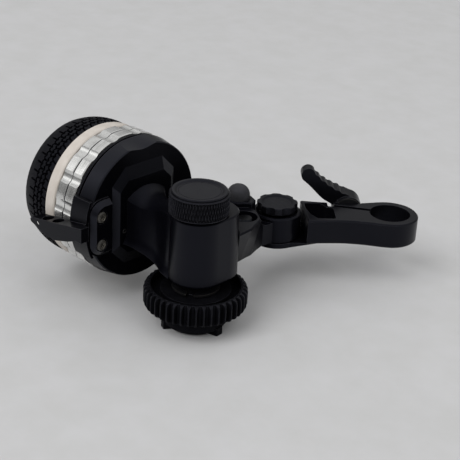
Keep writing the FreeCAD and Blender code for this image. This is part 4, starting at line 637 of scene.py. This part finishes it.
def make_materials():
    """Every finish of the unit, by the short name that NODE_FINISH uses."""
    wheel, drive, hinge = tuple(WHEEL), tuple(DRIVE), tuple(middle("hinge_bolt"))
    return {
        # satin black that lights up a little bluish on its broad faces
        "body": blasted_anodised("bead_blasted_black_anodised_aluminium", "#050509", "#08080C", 0.30, 0.17),
        # the same, with painted shade on the neck's sides near the drum
        "post": shade_neck_hollow(blasted_anodised("post_black_anodised_aluminium", "#050509", "#08080C", 0.30,
                                           wear_and_highlight=DARK_WEAR_AND_HIGHLIGHT)),
        # a shade greyer, from the milled arm
        "arm": blasted_anodised("machined_black_anodised_aluminium", "#060609", "#0A0A0D", 0.32),
        # deepest black, glossy on the rim and bevels, with painted shade taking the gloss off the faces
        # towards the post
        "drum": shade_post_facing_faces(blasted_anodised("drum_black_anodised_aluminium", "#030305", "#060609", 0.30,
                                            0.36)),
        "bracket": shade_post_facing_faces(blasted_anodised("bracket_black_anodised_aluminium", "#040406", "#07070A",
                                               0.30, 0.18)),
        # faint rings on the cap, and diamonds whose tips are grey, partly rubbed and partly a painted
        # highlight
        "knob": turned_metal("turned_black_anodised_aluminium", drive, UPRIGHT, "#0B0B0E", "#141418", 0.34,
                             0.35, 0.012, metallic=0.0, gloss=0.24, bright_edge_mm=0.12),
        # dull fine ribs
        "drag": turned_metal("ribbed_black_anodised_aluminium", wheel, ALONG_WHEEL, "#070709", "#0C0C0E",
                             0.45, 0.3, 0.01, metallic=0.0, gloss=0.2),
        # near-white metal whose lathe marks break its highlights into streaks
        "rings": turned_metal("turned_clear_anodised_aluminium", wheel, ALONG_WHEEL, "#D2D2D0", "#F2F2F0",
                              0.2, 0.35, 0.012, metallic=0.9),
        # satin black rings round the wheel, with grey edges that are partly wear and partly a painted
        # highlight
        "core": turned_metal("turned_wheel_black_anodised_aluminium", wheel, ALONG_WHEEL, "#0A0A0C",
                             "#121215", 0.36, 0.35, 0.01, metallic=0.0, gloss=0.2, bright_edge_mm=0.2),
        # clean flat white in the engraved line
        "paint": moulded("white_marking_paint", "#E6E4E0", "#F2F1EE", 0.5, 0.3, 0.004, 0.4),
        # matt off-white with a warm tinge, a little handled
        "disc": moulded("matt_white_acetal", "#C2BAB1", "#CEC7BF", 0.55, 0.35, 0.01, 0.4),
        # dull soft black, without a highlight
        "tyre": moulded("moulded_nitrile_rubber", "#08080B", "#0D0D10", 0.62, 0.3, 0.02),
        # smooth black with a waxy sheen and tooth tips grey, partly worn and partly a painted highlight
        "gear": moulded("moulded_black_acetal", "#08080A", "#0E0E11", 0.40, 0.4, 0.008, 0.22, 0.2),
        # coarser grain than the acetal, and greyer at the lobes' edges, partly wear and partly a painted
        # highlight
        "clamp_knob": moulded("moulded_black_glass_filled_nylon", "#0B0B0E", "#121215", 0.46, 0.35, 0.015,
                              0.22, 0.25),
        # dark grey with a soft highlight on the dome
        "button": moulded("satin_grey_black_abs", "#2A2A2C", "#343436", 0.36, 0.4, 0.008),
        # thin even powder coat over the casting, rubbed at the blade's edge, its edges partly a painted
        # highlight
        "lever": blasted_anodised("powder_coated_die_cast_zinc", "#060609", "#0B0B0E", 0.34, 0.2),
        # near-black heads with a dull metal rim
        "screw": blackened_steel("oil_blackened_steel", "#121214", "#6F6A60", 0.14),
        # heads that the key has rubbed almost bare
        "worn_screw": blackened_steel("rubbed_oil_blackened_steel", "#34322E", "#E2DACB", 0.3),
        # dark mirror with a cold cast
        "pin": turned_metal("blued_tool_steel", drive, UPRIGHT, "#1E1F22", "#2C2D31", 0.3, 0.3, 0.008),
        # bright steel with very fine marks
        "shaft": turned_metal("ground_stainless_steel", wheel, ALONG_WHEEL, "#9C9D9F", "#B9BABC", 0.25, 0.3,
                              0.006),
        # warm brown-gold rings
        "bronze": turned_metal("turned_bearing_bronze", hinge, UPRIGHT, "#8A6434", "#B08748", 0.35, 0.3,
                               0.01),
    }


NODE_FINISH = {
    "post": ["post_body"],
    "body": ["swing_link"],
    "bracket": ["index_bracket"],
    "arm": ["clamp_arm"],
    "drum": ["drum_housing", "index_plate"],
    "knob": ["knurled_knob"],
    "drag": ["drag_ring"],
    "rings": ["stop_ring_rear", "stop_ring_front"],
    "core": ["wheel_core", "gear_collar", "gear_hub"],
    "disc": ["marking_disc"],
    "tyre": ["grip_tyre", "friction_washer"],
    "gear": ["drive_gear"],
    "clamp_knob": ["hinge_knob"],
    "button": ["release_button"],
    "lever": ["clamp_lever"],
    "screw": ["clamp_bolt", "lever_screw", "lever_washer", "housing_screws", "wheel_screw", "hub_nut",
              "snap_ring"],
    "worn_screw": ["index_screws", "cover_screws"],
    "pin": ["latch_pin", "hinge_bolt", "hinge_washer", "button_spring"],
    "shaft": ["wheel_shaft", "drive_shaft", "wheel_bearing_rear", "wheel_bearing_front", "lower_bearing",
              "wheel_mitre", "drive_mitre"],
    "bronze": ["hinge_bush", "upper_bush", "hinge_insert", "knob_insert"],
}


def finish_nodes(materials):
    """Gives each CAD node its material."""
    for finish, nodes in NODE_FINISH.items():
        for name in nodes:
            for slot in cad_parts[name].material_slots:
                slot.material = materials[finish]


# ---- stage: sizes in metres -----------------------------------------------------------------------
BENCH_HALF = 3.0
LAMP_DISTANCE = 4.0
LIT_POINT = Vector((-0.03, -0.06, 0.0))         # middle of the unit, which the lamps face


def lay_floor():
    """Pale grey bench top, with a faint mottle, that the focus gear's hub stands on."""
    mesh = bpy.data.meshes.new("bench_top")
    corners = ((-1, -1), (1, -1), (1, 1), (-1, 1))
    mesh.from_pydata([(x * BENCH_HALF, y * BENCH_HALF, FLOOR_Z) for x, y in corners], [], [(0, 1, 2, 3)])
    floor = bpy.data.objects.new("bench_top", mesh)
    bpy.context.collection.objects.link(floor)
    material, tree, shader, place = new_material("painted_bench_top")
    tree.links.new(two_tone(tree, place, 14.0, "#C3C3C3", "#C8C8C9"), shader.inputs["Base Color"])
    shader.inputs["Roughness"].default_value = 0.7
    mesh.materials.append(material)


def softbox(name, towards, watts, size=2.6):
    """Broad square lamp that faces the unit from one direction, left out of mirror-like reflections."""
    lamp = bpy.data.lights.new(name, "AREA")
    lamp.shape = "SQUARE"
    lamp.size = size
    lamp.energy = watts
    box = bpy.data.objects.new(name, lamp)
    bpy.context.collection.objects.link(box)
    direction = Vector(towards).normalized()
    box.location = LIT_POINT + direction * LAMP_DISTANCE
    box.rotation_euler = direction.to_track_quat("Z", "Y").to_euler()
    box.visible_glossy = False
    return box


def light_stage():
    """Pale surroundings that brighten overhead, a broad soft lamp by the wheel, a weaker one by the hinge,
    and a card that lights nothing directly and shows only in reflections, placed for the bright rings."""
    world = bpy.data.worlds.new("pale_room")
    world.use_nodes = True
    tree = world.node_tree
    tree.nodes.clear()
    direction = add(tree, "ShaderNodeTexCoord").outputs["Generated"]
    height = add(tree, "ShaderNodeSeparateXYZ", {0: direction}).outputs["Z"]
    level = add(tree, "ShaderNodeMapRange", {"Value": height, "From Min": 0.0, "From Max": 0.8,
                                             "To Min": 0.03, "To Max": 0.7}).outputs["Result"]
    room = add(tree, "ShaderNodeBackground", {"Color": linear("#FFFFFF"), "Strength": level})
    add(tree, "ShaderNodeOutputWorld", {"Surface": room.outputs[0]})
    bpy.context.scene.world = world
    softbox("side_softbox", (0, -1, 1), 95.0)
    softbox("hinge_side_softbox", (1, 0, 1), 25.0)
    glint = softbox("ring_glint_card", (-0.6, -0.55, 0.55), 6.0, 1.6)
    glint.visible_glossy, glint.visible_diffuse = True, False


CAMERA_PLACE = (0.222413, -0.334711, 0.182151)
CAMERA_RIGHT = (0.726082, 0.685793, 0.049927)
CAMERA_UP = (-0.326584, 0.280050, 0.902726)
SENSOR_MM, LENS_MM = 36.0, 92.0


def place_camera():
    """Camera up to the right of the unit, looking down the arm towards the wheel."""
    right, up = Vector(CAMERA_RIGHT), Vector(CAMERA_UP)
    data = bpy.data.cameras.new("view")
    data.sensor_width = SENSOR_MM
    data.lens = LENS_MM
    data.clip_start, data.clip_end = 0.01, 20.0
    camera = bpy.data.objects.new("view", data)
    bpy.context.collection.objects.link(camera)
    turn = Matrix((right, up, right.cross(up))).transposed().to_4x4()
    camera.matrix_world = Matrix.Translation(CAMERA_PLACE) @ turn
    bpy.context.scene.camera = camera


RING_TREE = ring_tree()
finishes = make_materials()
finish_nodes(finishes)
make_tyre(finishes["tyre"])
make_knob(finishes["knob"])
make_drag_ring(finishes["drag"])
make_ring_gap_shade(finishes["gear"])
make_set_screws(finishes["screw"])
make_pointer_mark(finishes["paint"])
lay_floor()
light_stage()
place_camera()
bpy.context.scene.view_settings.view_transform = "Standard"
